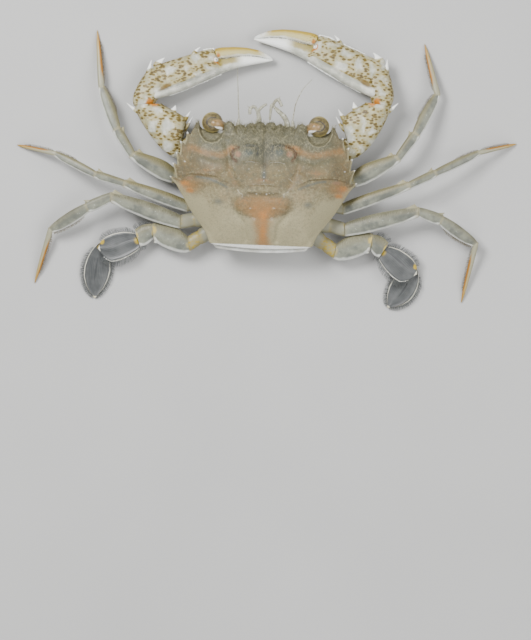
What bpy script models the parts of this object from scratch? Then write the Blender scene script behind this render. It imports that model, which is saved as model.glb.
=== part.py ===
"""A swimming crab, an adult female, laid out on its belly with legs and claws spread.

All sizes are in millimetres and become metres when a mesh is made. X is to the crab's right
as seen from above, Y is forward and Z is up. The floor is at Z 0. The origin is on the floor,
on the middle line, under the belly flap, ORIGIN_BEHIND_TEETH behind the line that joins the
last pair of side teeth. Places on the body are given from that line.
"""

import math

import bmesh
import bpy
from mathutils import Vector

MM = 0.001
GAP = 0.3
ORIGIN_BEHIND_TEETH = 5.0
FLOOR = 0.0

# Carapace
CARAPACE_TOP = 16.4
EDGE_THICKNESS = 0.7
SLOT_HEIGHT = 7.6
UNDER_HEIGHT = 8.3
FRONT_WALL = 12.2
FRONT_CURVE = 0.006
ORBIT_SPAN = (10.6, 16.1)
ORBIT_FLOOR_FRONT = 10.6
ORBIT_FLOOR_HEIGHT = 9.2
DOME_POWER = 2.3
DOME_CENTRE_Y = -1.0
DOME_SPREAD = 0.35
SOFT_ROUNDS = 14
SOFT_FROM = 0.6
SOFT_SPAN = 0.38
RING_SCALES = (0.94, 0.84, 0.7, 0.52, 0.32, 0.14)
# Rings below the rim: how far each is drawn in along X and Y, and how far it lies below the rim
LIP_IN = (0.985, 0.99)
WALL_IN = (0.965, 0.975)
LOWER_IN = (0.96, 0.975)
SLOT_IN = (0.8, 0.9)
SHELF_DROP = 1.1
WALL_DROP = 1.3
LOWER_DROP = 1.5
ORBIT_FLOOR_RISE = 0.2
# Half of the upper rim from the notch between the frontal lobes back to the middle of the rear
RIM = (
    (0.0, 13.95, 11.6), (1.0, 14.5, 11.6), (1.9, 14.4, 11.6), (2.6, 13.6, 11.6),
    (3.3, 14.0, 11.7), (4.1, 13.9, 11.7), (5.0, 13.1, 11.8), (5.8, 13.55, 11.8),
    (6.6, 13.4, 12.0), (7.4, 12.8, 12.2), (8.3, 14.2, 12.3), (9.3, 14.8, 12.3),
    (10.2, 14.3, 12.3), (10.5, 12.4, 12.5), (10.9, 10.3, 12.8), (11.8, 9.0, 13.0),
    (13.0, 8.6, 13.0), (14.3, 8.9, 12.7), (15.5, 10.0, 12.2), (16.2, 11.6, 11.6),
    (16.5, 13.4, 11.0), (17.0, 14.2, 10.8), (17.6, 13.8, 10.6), (18.3, 11.9, 10.5),
    (19.3, 10.0, 10.4), (20.3, 8.0, 10.2), (21.0, 5.8, 10.0), (21.5, 3.4, 9.9),
    (21.8, 1.0, 9.8), (21.5, -1.4, 9.7), (20.1, -4.4, 9.6), (18.1, -7.8, 9.6),
    (15.9, -10.8, 9.6), (14.3, -12.9, 9.7), (13.4, -14.6, 9.8), (12.9, -16.0, 9.9),
    (11.6, -16.6, 9.9), (8.0, -16.75, 10.0), (4.0, -16.85, 10.0), (0.0, -16.9, 10.0),
)
# Side teeth: tip X and Y, how far the tooth stands, its half width along the rim
SIDE_TEETH = (
    (19.5, 11.3, 2.6, 1.0),
    (21.1, 8.9, 2.8, 1.0),
    (22.1, 6.1, 2.8, 1.0),
    (22.8, 3.4, 3.0, 0.95),
    (23.3, 0.1, 3.4, 0.85),
)
TOOTH_HEADING = 58.0
TOOTH_HALF_THICKNESS = 0.5
TOOTH_TIP_HEIGHTS = ((-2.0, 9.2), (12.0, 10.2))
SPINE_TIP_RADIUS = 0.12

# Thorax, as stations along Y: place, half width, height of the lower face
THORAX_STATIONS = (
    (-14.4, 9.5, 2.6), (-12.5, 12.4, 1.7), (-8.0, 13.4, 1.7), (-3.0, 13.4, 1.7),
    (0.9, 12.8, 1.7), (2.2, 12.4, 0.9), (6.0, 11.0, 1.2), (8.4, 10.0, 2.5), (12.0, 8.2, 6.1),
)
# One side of a station from its top down: how far it is drawn in, and its share of the depth
THORAX_SIDE = ((1.2, 1.0), (0.0, 0.84), (0.0, 0.4), (1.8, 0.12), (4.2, 0.0))

# Belly flap, folded under the thorax
PLATE_THICKNESS = 1.4
PLATE_EDGE = 0.45
PLATE_BEVEL = 0.5
TELSON_TIP = 0.8
TELSON_HALF = 2.7
SEAM_TELSON = -1.7
SEAM_SIX = -8.2
SEAM_FIVE = -13.0
SEAM_FOUR = -15.2
SIX_HALF = 12.0
FIVE_HALF = 13.6
FOUR_HALF = 12.4
REAR_OUT = -18.0
REAR_TOP = 9.0
REAR_INNER = -14.7
REAR_HALF = 12.7
REAR_LOW_HALF = 10.9
REAR_BOW = 0.5
REAR_SHARES = (-1.0, -0.94, -0.75, -0.4, 0.0, 0.4, 0.75, 0.94, 1.0)
TELSON_SIDE = ((1.9, 1.3), (0.9, 2.2))

# Eyes, feelers and mouthparts. The outline of a mouthpart is its half width and length along
# the slope under the front of the thorax
EYE_CENTRE = (13.3, 13.9, 10.7)
EYE_RADIUS = 2.7
EYE_CUT = 1.9
STALK_ROOT = (9.0, 9.2)
STALK_SIDES = 8
FEELER_RADIUS = 0.26
FEELER_HEIGHT = 9.6
ANTENNA_ROOT = 6.9
ANTENNA_BASE_RADII = (0.8, 0.45)
ANTENNULE_BASE_RADII = (0.8, 0.5)
ANTENNA_PATHS = {
    "left": ((6.9, 12.9, 9.6), (6.7, 15.2, 10.2), (7.0, 18.8, 11.6), (7.23, 22.4, 12.9),
             (7.45, 25.4, 13.6), (7.57, 27.9, 13.9)),
    "right": ((6.9, 12.9, 9.6), (6.7, 15.2, 10.2), (7.0, 17.5, 11.0), (7.37, 19.5, 11.8),
              (8.93, 23.0, 12.9), (11.18, 25.6, 13.6)),
}
# Feelers between the eyes: a stout base from its root to its end, then rods, each as points
ANTENNULE_BASES = {"left": ((2.9, 12.5, 9.5), (2.4, 17.3, 11.0)),
                   "right": ((4.8, 12.6, 9.5), (2.1, 18.4, 11.2))}
ANTENNULE_RODS = {
    "left": (((2.4, 17.2, 11.0), (1.2, 18.2, 11.9), (0.3, 19.0, 12.6)),
             ((2.4, 17.0, 11.0), (3.3, 17.9, 11.8), (4.6, 18.5, 12.3))),
    "right": (((2.4, 17.9, 11.1), (1.3, 19.0, 11.7), (1.15, 17.0, 10.9), (1.0, 15.0, 10.2)),
              ((2.6, 17.4, 10.9), (2.9, 19.9, 12.2), (3.7, 19.4, 12.7), (3.9, 18.7, 12.7))),
}
MOUTH_OUTLINE = (
    (0.3, 0.1), (3.6, 0.1), (4.3, 1.2), (4.4, 3.6), (4.6, 4.6), (3.6, 6.0),
    (2.0, 6.3), (0.8, 5.4), (0.3, 4.0))
MOUTH_MIDDLE = (2.4, 3.0)
MOUTH_THICKNESS = 1.2
MOUTH_LAYERS = ((GAP, 1.0), (MOUTH_THICKNESS * 0.7, 1.0), (MOUTH_THICKNESS, 0.82))

SIDES = {"left": -1, "right": 1}

# Root of each limb's first free article: distance from the middle line and place along Y.
# Each article after it: length seen from above, heading in degrees from straight outwards
# towards the front, and the height of its far end.
LIMB_POSES = {
    ("claw", "left"): ((21.66, 7.29, 4.9), (13.04, 55.2, 4.9), (6.26, 116.3, 4.1)),
    ("claw", "right"): ((21.81, 9.03, 4.9), (12.53, 63.7, 4.9), (6.37, 103.6, 4.1)),
    ("leg_1", "left"): (
        (22.56, 0.3, 4.7), (11.63, 25.1, 6.3), (7.39, 56.5, 5.8), (11.36, 68.0, 3.0),
        (13.98, 83.7, 0.25)),
    ("leg_1", "right"): (
        (22.58, 1.06, 4.7), (12.32, 28.6, 6.3), (7.48, 55.3, 5.8), (11.36, 64.5, 3.0),
        (12.81, 106.4, 0.25)),
    ("leg_2", "left"): (
        (18.83, -7.11, 4.9), (16.72, 17.4, 7.4), (7.59, 14.9, 7.0), (11.37, 25.1, 4.0),
        (9.57, 10.7, 0.25)),
    ("leg_2", "right"): (
        (20.27, -6.27, 4.9), (17.55, 21.9, 7.4), (7.11, 27.2, 7.0), (12.2, 27.4, 4.0),
        (9.42, 15.5, 0.25)),
    ("leg_3", "left"): (
        (20.34, -11.18, 4.9), (18.47, 17.1, 6.4), (6.46, -26.3, 6.0), (10.8, -34.2, 3.2),
        (13.57, -75.6, 0.25)),
    ("leg_3", "right"): (
        (20.83, -11.47, 4.9), (18.99, 15.7, 6.4), (6.03, -18.1, 6.0), (10.5, -33.4, 3.2),
        (14.78, -101.6, 0.25)),
    ("swimming_leg", "left"): (
        (18.05, -16.59, 4.2), (9.42, 16.9, 3.9), (4.24, -30.1, 3.4), (9.13, -10.8, 2.4),
        (13.17, -84.7, 0.5)),
    ("swimming_leg", "right"): (
        (18.57, -16.97, 4.2), (9.41, 16.4, 3.9), (3.7, -36.1, 3.4), (9.09, -27.7, 2.4),
        (11.45, -123.2, 0.5)),
}
ARTICLES = ("merus", "carpus", "propodus", "dactyl")

# Where each limb leaves the thorax: X, Y and height, and the half width of its coxa
COXAE = {
    "claw": (10.0, 6.2, 4.4, 2.9),
    "leg_1": (12.0, 0.6, 4.4, 2.35),
    "leg_2": (12.0, -4.6, 4.4, 2.3),
    "leg_3": (12.0, -9.4, 4.4, 2.3),
    "swimming_leg": (12.0, -12.6, 4.5, 2.1),
}
CLAW_COXA_END = 15.2
COXA_FLATNESS = 0.85
COXA_MOST_THICK = 2.3

# Half widths along each article, from its root to its end, and how thick it is for its width
WALKING_SHAPES = {
    "leg_1": {
        "merus": ((1.9, 2.35, 2.3, 2.0, 1.6, 1.2), 0.56),
        "carpus": ((1.05, 1.15, 1.2, 1.3, 1.25), 0.62),
        "propodus": ((1.15, 1.4, 1.45, 1.4, 1.2, 0.85), 0.56),
        "dactyl": ((0.8, 0.8, 0.72, 0.6, 0.45, 0.28), 0.85),
    },
    "leg_2": {
        "merus": ((1.45, 1.62, 1.62, 1.5, 1.3, 1.05), 0.62),
        "carpus": ((0.95, 1.0, 1.05, 1.1, 1.0), 0.66),
        "propodus": ((0.9, 1.05, 1.08, 1.05, 0.95, 0.7), 0.62),
        "dactyl": ((0.65, 0.62, 0.55, 0.5, 0.4, 0.28), 0.95),
    },
    "leg_3": {
        "merus": ((1.7, 2.0, 2.15, 2.0, 1.7, 1.3), 0.58),
        "carpus": ((1.15, 1.25, 1.3, 1.35, 1.25), 0.62),
        "propodus": ((1.15, 1.4, 1.45, 1.4, 1.2, 0.8), 0.56),
        "dactyl": ((0.72, 0.7, 0.64, 0.55, 0.42, 0.28), 0.85),
    },
}
# The swimming leg's articles are flat, so each has a front and a rear edge: rows of place
# along the article as a share of its length, and half widths towards the front and the rear.
# The propodus reaches past its joint, over the root of the dactyl
SWIMMING_SHAPES = {
    "merus": (((0.0, 1.6, 1.7), (0.2, 2.4, 2.4), (0.45, 2.8, 2.8), (0.7, 2.7, 2.8),
               (0.9, 2.2, 2.5), (1.0, 1.7, 2.2)), 1.25),
    "carpus": (((0.0, 1.6, 1.6), (0.35, 2.2, 1.9), (0.7, 2.5, 2.0), (1.0, 2.1, 1.6)), 1.0),
    "propodus": (((0.0, 1.5, 2.1), (0.12, 2.0, 2.8), (0.35, 2.45, 3.8), (0.6, 2.4, 4.5),
                  (0.82, 2.0, 4.6), (0.95, 1.4, 3.7), (1.04, 0.7, 2.3), (1.08, 0.0, 1.2)), 0.5),
    "dactyl": (((-0.04, 0.6, 0.5), (0.04, 1.6, 1.3), (0.14, 2.5, 2.0), (0.28, 3.2, 2.6),
                (0.45, 3.6, 2.95), (0.62, 3.5, 2.7), (0.78, 2.7, 2.0), (0.9, 1.6, 1.1),
                (0.98, 0.5, 0.4)), 0.42),
}
PADDLE_ROOT_HEIGHT = 1.15
PADDLE_END_THICKNESS = 0.75
PADDLE_SQUARENESS = 0.85

# A short spine at the far end of a walking leg's merus and carpus
LEG_SPINE_ROOT = 2.2
LEG_SPINE_TIP = 0.5
LEG_SPINE_OUT = 0.55
LEG_SPINE_RADIUS = 0.5
LEG_SPINE_SUNK = 0.3

# Claws: half widths towards the inner and outer side, and half thickness
CLAW_ISCHIUM = ((0.0, 2.6, 2.6, 2.1), (0.35, 2.9, 2.9, 2.2), (0.7, 2.9, 2.9, 2.2),
                (1.0, 2.6, 2.6, 2.1))
CLAW_MERUS = ((0.0, 2.6, 2.6, 2.1), (0.2, 4.6, 3.4, 2.6), (0.45, 5.2, 4.0, 3.0),
              (0.7, 4.5, 4.2, 3.1), (0.9, 3.5, 3.9, 2.9), (1.0, 3.0, 3.5, 2.6))
CLAW_CARPUS = ((0.0, 2.6, 3.7, 2.5), (0.2, 3.0, 4.5, 2.9), (0.5, 3.3, 5.0, 3.1),
               (0.8, 3.4, 4.8, 3.0), (1.0, 3.2, 4.2, 2.6))
CLAW_LENGTH = {"left": 28.27, "right": 30.99}
CLAW_HEADING = {"left": 166.75, "right": 163.7}
CLAW_HEIGHT = (3.9, 2.3)
CLAW_SQUARENESS = 0.9
WRIST_SHARE = 0.3
# The palm and its fixed finger: share of the length, outer edge, inner edge and half
# thickness, all as shares of the claw's length, and the same for the movable finger
PALM_ROWS = (
    (0.0, -0.118, 0.112, 0.078), (0.09, -0.114, 0.146, 0.092), (0.2, -0.09, 0.183, 0.1),
    (0.33, -0.062, 0.212, 0.1), (0.44, -0.036, 0.222, 0.092), (0.505, -0.024, 0.2, 0.078),
    (0.53, -0.018, 0.09, 0.054), (0.62, -0.008, 0.09, 0.048), (0.74, -0.004, 0.083, 0.042),
    (0.86, -0.005, 0.055, 0.034), (0.95, -0.006, 0.02, 0.022), (1.0, -0.002, 0.006, 0.01),
)
FINGER_ROWS = (
    (0.535, 0.112, 0.19, 0.052), (0.58, 0.108, 0.196, 0.056), (0.7, 0.104, 0.178, 0.05),
    (0.8, 0.094, 0.154, 0.042), (0.9, 0.062, 0.11, 0.032), (0.97, 0.026, 0.05, 0.02),
    (1.0, 0.018, 0.03, 0.01),
)

# Spines on the claws: tip along and out from the article's own line, where the root is
# sunk in the same way, and the root's half width
MERUS_SPINES = (((6.6, 7.5), (5.2, 4.0), 0.9), ((2.9, 7.3), (2.4, 3.4), 0.75),
                ((13.0, -4.9), (11.4, -2.0), 0.6))
CARPUS_SPINES = (((7.4, -4.5), (5.0, -1.6), 0.7), ((3.2, 4.6), (3.2, 1.2), 0.8))
PALM_SPINES = ((0.064, 0.19, 0.028), (0.37, 0.242, 0.024))
SPINE_RISE = 0.3
PALM_SPINE_RISE = 0.8
PALM_SPINE_SUNK = 3.0

WALKING_SIDES = 10
CLAW_SIDES = 12
SPINE_SIDES = 5
ROD_RESOLUTION = 1
WELD_DISTANCE = 0.00001
SMOOTH_ANGLE = 40

COLOURS = {
    "shell": ((0.40, 0.34, 0.23), 0.45),
    "belly": ((0.72, 0.70, 0.62), 0.4),
    "leg": ((0.55, 0.55, 0.47), 0.35),
    "tip": ((0.62, 0.36, 0.10), 0.35),
    "claw": ((0.68, 0.64, 0.50), 0.4),
    "paddle": ((0.42, 0.46, 0.46), 0.3),
    "eye": ((0.40, 0.28, 0.14), 0.15),
    "feeler": ((0.60, 0.58, 0.48), 0.4),
}


def clear_scene():
    for old in list(bpy.data.objects):
        bpy.data.objects.remove(old, do_unlink=True)


def new_collection(name):
    collection = bpy.data.collections.new(name)
    bpy.context.scene.collection.children.link(collection)
    return collection


def on_body(x, y, z):
    """A place given from the line of the last teeth, in the part's own frame."""
    return Vector((x, y + ORIGIN_BEHIND_TEETH, z))


def material(name, finish):
    colour, roughness = COLOURS[finish]
    made = bpy.data.materials.new(name)
    made.use_nodes = True
    shader = made.node_tree.nodes["Principled BSDF"]
    shader.inputs["Base Color"].default_value = (*colour, 1.0)
    shader.inputs["Roughness"].default_value = roughness
    shader.inputs["Metallic"].default_value = 0.0
    return made


def link_mesh(mesh, name, finish):
    mesh.materials.append(material(name, finish))
    node = bpy.data.objects.new(name, mesh)
    PARTS.objects.link(node)
    return node


def loft(name, rings, finish):
    """A closed solid through rings of equal point counts, capped at both ends."""
    bm = bmesh.new()
    rows = []
    for ring in rings:
        rows.append([bm.verts.new(Vector((p.x, p.y, max(p.z, FLOOR))) * MM) for p in ring])
    count = len(rows[0])
    for low, high in zip(rows, rows[1:]):
        for i in range(count):
            j = (i + 1) % count
            bm.faces.new((low[i], low[j], high[j], high[i]))
    bm.faces.new(rows[0][::-1])
    bm.faces.new(rows[-1])
    bmesh.ops.triangulate(bm, faces=bm.faces[:])
    bmesh.ops.recalc_face_normals(bm, faces=bm.faces[:])
    mesh = bpy.data.meshes.new(name)
    bm.to_mesh(mesh)
    bm.free()
    return link_mesh(mesh, name, finish)


def between(rows, place):
    """Values at a place, read from rows that start with their own place."""
    for low, high in zip(rows, rows[1:]):
        if place <= high[0]:
            share = (place - low[0]) / (high[0] - low[0])
            return [a + (b - a) * share for a, b in zip(low[1:], high[1:])]
    return list(rows[-1][1:])


def section(centre, along, cut, front, rear, thick, sides, power=1.0):
    """One ring round a limb: its width lies level, and its plane is turned to face cut."""
    across = Vector((-along.y, along.x, 0.0)).normalized()
    upward = along.cross(across).normalized()
    if upward.z < 0:
        upward = -upward
    ring = []
    for i in range(sides):
        angle = 2 * math.pi * (i + 0.5) / sides
        side, rise = math.cos(angle), math.sin(angle)
        side = math.copysign(abs(side) ** power, side)
        rise = math.copysign(abs(rise) ** power, rise)
        offset = across * (side * (front if side > 0 else rear)) + upward * (rise * thick)
        slide = -offset.dot(cut) / along.dot(cut)
        ring.append(centre + offset + along * slide)
    return ring


def joint_planes(points):
    """Unit directions of each length of a limb, and of the planes that part them."""
    ways = [(b - a).normalized() for a, b in zip(points, points[1:])]
    cuts = [ways[0]]
    for before, after in zip(ways, ways[1:]):
        cuts.append((before + after).normalized())
    cuts.append(ways[-1])
    return ways, cuts


def article(name, start, end, cuts, rows, sides, finish, power=1.0):
    """One limb article between two joint planes, with half the gap left at each."""
    along = (end - start).normalized()
    length = (end - start).length
    rings = []
    for place, front, rear, thick in rows:
        clear = GAP / 2
        first = clear / along.dot(cuts[0])
        last = length - clear / along.dot(cuts[1])
        centre = start + along * (first + (last - first) * place)
        cut = cuts[0].lerp(cuts[1], min(max(place, 0.0), 1.0)).normalized()
        rings.append(section(centre, along, cut, front, rear, thick, sides, power))
    return loft(name, rings, finish)


def spine(tip, root, radius, sides=SPINE_SIDES, flatten=1.0):
    """A cone from a sunk root to its tip; its ring is made by hand so that it can be flat."""
    bm = bmesh.new()
    made = bmesh.ops.create_cone(
        bm, cap_ends=True, segments=sides, radius1=radius * MM, radius2=SPINE_TIP_RADIUS * MM,
        depth=(tip - root).length * MM)
    way = (tip - root).normalized()
    across = Vector((-way.y, way.x, 0.0)).normalized()
    upward = way.cross(across)
    middle = (tip + root) / 2 * MM
    for vert in made["verts"]:
        flat = vert.co.copy()
        vert.co = middle + across * flat.x + upward * (flat.y * flatten) + way * flat.z
        vert.co.z = max(vert.co.z, FLOOR)
    bmesh.ops.recalc_face_normals(bm, faces=bm.faces[:])
    mesh = bpy.data.meshes.new("spine")
    bm.to_mesh(mesh)
    bm.free()
    return bpy.data.objects.new("spine", mesh)


def rod(points, radius):
    """A thin round rod along a smooth row of points, as a closed mesh."""
    curve = bpy.data.curves.new("rod", "CURVE")
    curve.dimensions = "3D"
    curve.bevel_depth = radius * MM
    curve.bevel_resolution = ROD_RESOLUTION
    curve.use_fill_caps = True
    line = curve.splines.new("POLY")
    line.points.add(len(points) - 1)
    for target, point in zip(line.points, points):
        target.co = (*(point * MM), 1.0)
    holder = bpy.data.objects.new("rod", curve)
    PARTS.objects.link(holder)
    bpy.context.view_layer.update()
    graph = bpy.context.evaluated_depsgraph_get()
    mesh = bpy.data.meshes.new_from_object(holder.evaluated_get(graph))
    bpy.data.objects.remove(holder, do_unlink=True)
    bm = bmesh.new()
    bm.from_mesh(mesh)
    bmesh.ops.remove_doubles(bm, verts=bm.verts[:], dist=WELD_DISTANCE)
    bmesh.ops.recalc_face_normals(bm, faces=bm.faces[:])
    bm.to_mesh(mesh)
    bm.free()
    return bpy.data.objects.new("rod", mesh)


def largest_surface(node):
    """Keep only the largest closed surface of a node."""
    bm = bmesh.new()
    bm.from_mesh(node.data)
    left = set(bm.verts)
    groups = []
    while left:
        stack = [left.pop()]
        group = list(stack)
        while stack:
            for edge in stack.pop().link_edges:
                for vert in edge.verts:
                    if vert in left:
                        left.remove(vert)
                        stack.append(vert)
                        group.append(vert)
        groups.append(group)
    keep = max(groups, key=len)
    loose = [vert for group in groups if group is not keep for vert in group]
    bmesh.ops.delete(bm, geom=loose, context="VERTS")
    bmesh.ops.triangulate(bm, faces=bm.faces[:])
    bm.to_mesh(node.data)
    bm.free()


def fuse(node, pieces):
    """One union of a node with its spines or rods, applied, and nothing else kept."""
    heap = new_collection("pieces")
    for piece in pieces:
        heap.objects.link(piece)
    join = node.modifiers.new("union", "BOOLEAN")
    join.operation = "UNION"
    join.operand_type = "COLLECTION"
    join.solver = "EXACT"
    join.collection = heap
    bpy.context.view_layer.update()
    graph = bpy.context.evaluated_depsgraph_get()
    fused = bpy.data.meshes.new_from_object(node.evaluated_get(graph))
    node.modifiers.clear()
    slot = node.data.materials[0]
    node.data = fused
    fused.materials.clear()
    fused.materials.append(slot)
    for piece in list(heap.objects):
        bpy.data.objects.remove(piece, do_unlink=True)
    bpy.data.collections.remove(heap)
    largest_surface(node)
    return node


def smoothed(points, rounds):
    """A closed row of points evened out along itself."""
    for _ in range(rounds):
        count = len(points)
        points = [
            (points[i - 1] + points[i] * 2 + points[(i + 1) % count]) / 4 for i in range(count)]
    return points


def whole_rim():
    """The rim all round: right half front to back, then the left half back to front."""
    right = [Vector(p) for p in RIM]
    left = [Vector((-p.x, p.y, p.z)) for p in reversed(right[1:-1])]
    return right + left


def under_point(point):
    """The rim's point moved in to the front wall, or to the front of the orbit's floor."""
    x, y = point.x, point.y
    if y > DOME_CENTRE_Y:
        if is_orbit(point):
            y = max(y, ORBIT_FLOOR_FRONT)
        y = min(y, FRONT_WALL - FRONT_CURVE * x * x)
    return Vector((x * WALL_IN[0], y if point.y > 0 else y * WALL_IN[1], point.z))


def is_orbit(point):
    return ORBIT_SPAN[0] < abs(point.x) < ORBIT_SPAN[1] and point.y > 5


def carapace():
    rim = whole_rim()
    even = smoothed(rim, SOFT_ROUNDS)
    rings = []
    for scale in reversed(RING_SCALES):
        ring = []
        blend = min(max((scale - SOFT_FROM) / SOFT_SPAN, 0.0), 1.0)
        for sharp, soft in zip(rim, even):
            edge = soft.lerp(sharp, blend)
            hub = Vector((edge.x * DOME_SPREAD, DOME_CENTRE_Y, 0.0))
            place = hub.lerp(edge, scale)
            rise = (CARAPACE_TOP - edge.z) * (1 - scale ** DOME_POWER)
            ring.append(on_body(place.x, place.y, edge.z + rise))
        rings.append(ring)
    rings.append([on_body(p.x, p.y, p.z) for p in rim])
    rings.append([on_body(p.x * LIP_IN[0], p.y * LIP_IN[1], p.z - EDGE_THICKNESS) for p in rim])
    shelf, wall, lower, slot = [], [], [], []
    for p in rim:
        low = under_point(p)
        if is_orbit(p):
            shelf_height = ORBIT_FLOOR_HEIGHT + ORBIT_FLOOR_RISE
            shelf.append(on_body(p.x * LIP_IN[0], p.y * LIP_IN[1], shelf_height))
        else:
            shelf.append(on_body(low.x, low.y, p.z - SHELF_DROP))
        wall.append(on_body(low.x, low.y, min(ORBIT_FLOOR_HEIGHT, p.z - WALL_DROP)))
        lower_height = min(UNDER_HEIGHT, p.z - LOWER_DROP)
        lower.append(on_body(low.x * LOWER_IN[0], low.y * LOWER_IN[1], lower_height))
        slot.append(on_body(low.x * SLOT_IN[0], low.y * SLOT_IN[1], SLOT_HEIGHT))
    rings += [shelf, wall, lower, slot]
    shell = loft("carapace", rings, "shell")
    teeth = []
    for side in SIDES.values():
        for x, y, reach, half in SIDE_TEETH:
            turn = math.radians(TOOTH_HEADING)
            tip = on_body(x * side, y, between(TOOTH_TIP_HEIGHTS, y)[0])
            way = Vector((math.cos(turn) * side, math.sin(turn), 0.0))
            root = tip - way * reach
            teeth.append(spine(tip, root, half, 6, TOOTH_HALF_THICKNESS / half))
    return fuse(shell, teeth)


def thorax():
    rings = []
    top = SLOT_HEIGHT - GAP
    for y, half, low in THORAX_STATIONS:
        side = [(half - inset, low + share * (top - low)) for inset, share in THORAX_SIDE]
        outline = side + [(-x, z) for x, z in reversed(side)]
        rings.append([on_body(x, y, z) for x, z in outline])
    body = loft("thorax", rings, "belly")
    bases = []
    for (limb, side_name), pose in LIMB_POSES.items():
        side = SIDES[side_name]
        x, y, z, half = COXAE[limb]
        inner = on_body(x * side, y, z)
        points = limb_points(limb, side_name)
        outer = points[0]
        if limb == "claw":
            along = (outer - inner).normalized()
            outer = inner + along * (CLAW_COXA_END - x)
            cut = along
        else:
            along = (outer - inner).normalized()
            cut = (along + (points[1] - points[0]).normalized()).normalized()
        last = first_half_width(limb)
        shares = (
            (0.0, half * 0.9), (0.3, half), (0.55, half * 0.82), (0.8, last * 0.98), (1.0, last))
        length = (outer - inner).length - GAP / 2 / along.dot(cut)
        rings = []
        for place, wide in shares:
            turn = along.lerp(cut, place).normalized()
            thick = min(wide * COXA_FLATNESS, COXA_MOST_THICK)
            centre = inner + along * (length * place)
            rings.append(section(centre, along, turn, wide, wide, thick, WALKING_SIDES))
        bases.append(loft("base", rings, "belly"))
    for base in bases:
        PARTS.objects.unlink(base)
    return fuse(body, bases)


def first_half_width(limb):
    if limb == "claw":
        return CLAW_MERUS[0][1]
    if limb == "swimming_leg":
        return SWIMMING_SHAPES["merus"][0][0][1]
    return WALKING_SHAPES[limb]["merus"][0][0]


def limb_points(limb, side_name):
    """Joint places of a limb from its root outwards."""
    side = SIDES[side_name]
    pose = LIMB_POSES[(limb, side_name)]
    x, y, z = pose[0]
    points = [on_body(x * side, y, z)]
    for reach, heading, height in pose[1:]:
        turn = math.radians(heading)
        x += reach * math.cos(turn)
        y += reach * math.sin(turn)
        points.append(on_body(x * side, y, height))
    return points


def mirror_rows(rows, side):
    """Rows of front and rear half widths, swapped on the side where across points back."""
    if side > 0:
        return [(place, front, rear, thick) for place, front, rear, thick in rows]
    return [(place, rear, front, thick) for place, front, rear, thick in rows]


def walking_leg(limb, side_name):
    points = limb_points(limb, side_name)
    ways, cuts = joint_planes(points)
    inner = on_body(COXAE[limb][0] * SIDES[side_name], COXAE[limb][1], COXAE[limb][2])
    cuts[0] = ((points[0] - inner).normalized() + ways[0]).normalized()
    for index, part in enumerate(ARTICLES):
        halves, flat = WALKING_SHAPES[limb][part]
        steps = len(halves) - 1
        rows = [(i / steps, half, half, half * flat) for i, half in enumerate(halves)]
        finish = "tip" if part == "dactyl" else "leg"
        name = f"{limb}_{part}_{side_name}"
        node = article(
            name, points[index], points[index + 1], cuts[index:index + 2], rows,
            WALKING_SIDES, finish)
        if part in ("merus", "carpus"):
            way = ways[index]
            across = Vector((-way.y, way.x, 0.0)).normalized() * SIDES[side_name]
            end = points[index + 1]
            root = end - way * LEG_SPINE_ROOT + across * LEG_SPINE_SUNK
            tip = end - way * LEG_SPINE_TIP + across * (halves[-1] + LEG_SPINE_OUT)
            fuse(node, [spine(tip, root, LEG_SPINE_RADIUS)])


def swimming_leg(side_name):
    limb = "swimming_leg"
    side = SIDES[side_name]
    points = limb_points(limb, side_name)
    ways, cuts = joint_planes(points)
    inner = on_body(COXAE[limb][0] * side, COXAE[limb][1], COXAE[limb][2])
    cuts[0] = ((points[0] - inner).normalized() + ways[0]).normalized()
    for index, part in enumerate(ARTICLES):
        shape, thick = SWIMMING_SHAPES[part]
        ends = (shape[0][0], shape[-1][0])
        rows = [
            (place, front, rear, thick * (PADDLE_END_THICKNESS if place in ends else 1.0))
            for place, front, rear in shape]
        finish = "paddle" if part in ("propodus", "dactyl") else "leg"
        start, end = points[index], points[index + 1]
        planes = cuts[index:index + 2]
        if part == "propodus":
            planes = (cuts[index], ways[index])
        if part == "dactyl":
            start = Vector((start.x, start.y, PADDLE_ROOT_HEIGHT))
            planes = [(end - start).normalized()] * 2
        article(
            f"{limb}_{part}_{side_name}", start, end, planes, mirror_rows(rows, side),
            CLAW_SIDES, finish, PADDLE_SQUARENESS)


def claw_frame(side_name):
    """The claw's base point, its direction and its inner direction."""
    side = SIDES[side_name]
    base = limb_points("claw", side_name)[-1]
    turn = math.radians(CLAW_HEADING[side_name])
    along = Vector((math.cos(turn) * side, math.sin(turn), 0.0))
    inner = Vector((-along.y, along.x, 0.0)) * -side
    if inner.y < 0:
        inner = -inner
    return base, along, inner


def claw_rings(side_name, rows, cut_first):
    base, along, inner = claw_frame(side_name)
    length = CLAW_LENGTH[side_name]
    rings = []
    for place, outer_edge, inner_edge, thick in rows:
        middle = (outer_edge + inner_edge) / 2 * length
        half = (inner_edge - outer_edge) / 2 * length
        height = between(((0.0, CLAW_HEIGHT[0]), (1.0, CLAW_HEIGHT[1])), place)[0]
        cut = cut_first.lerp(along, min(1.0, place / WRIST_SHARE)).normalized()
        clear = GAP / 2 / along.dot(cut) if place == 0.0 else 0.0
        slide = inner.dot(cut) / along.dot(cut) * middle
        centre = base + along * (place * length + clear - slide) + inner * middle
        centre.z = height
        rings.append(section(
            centre, along, cut, half, half, thick * length, CLAW_SIDES, CLAW_SQUARENESS))
    return rings


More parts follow.
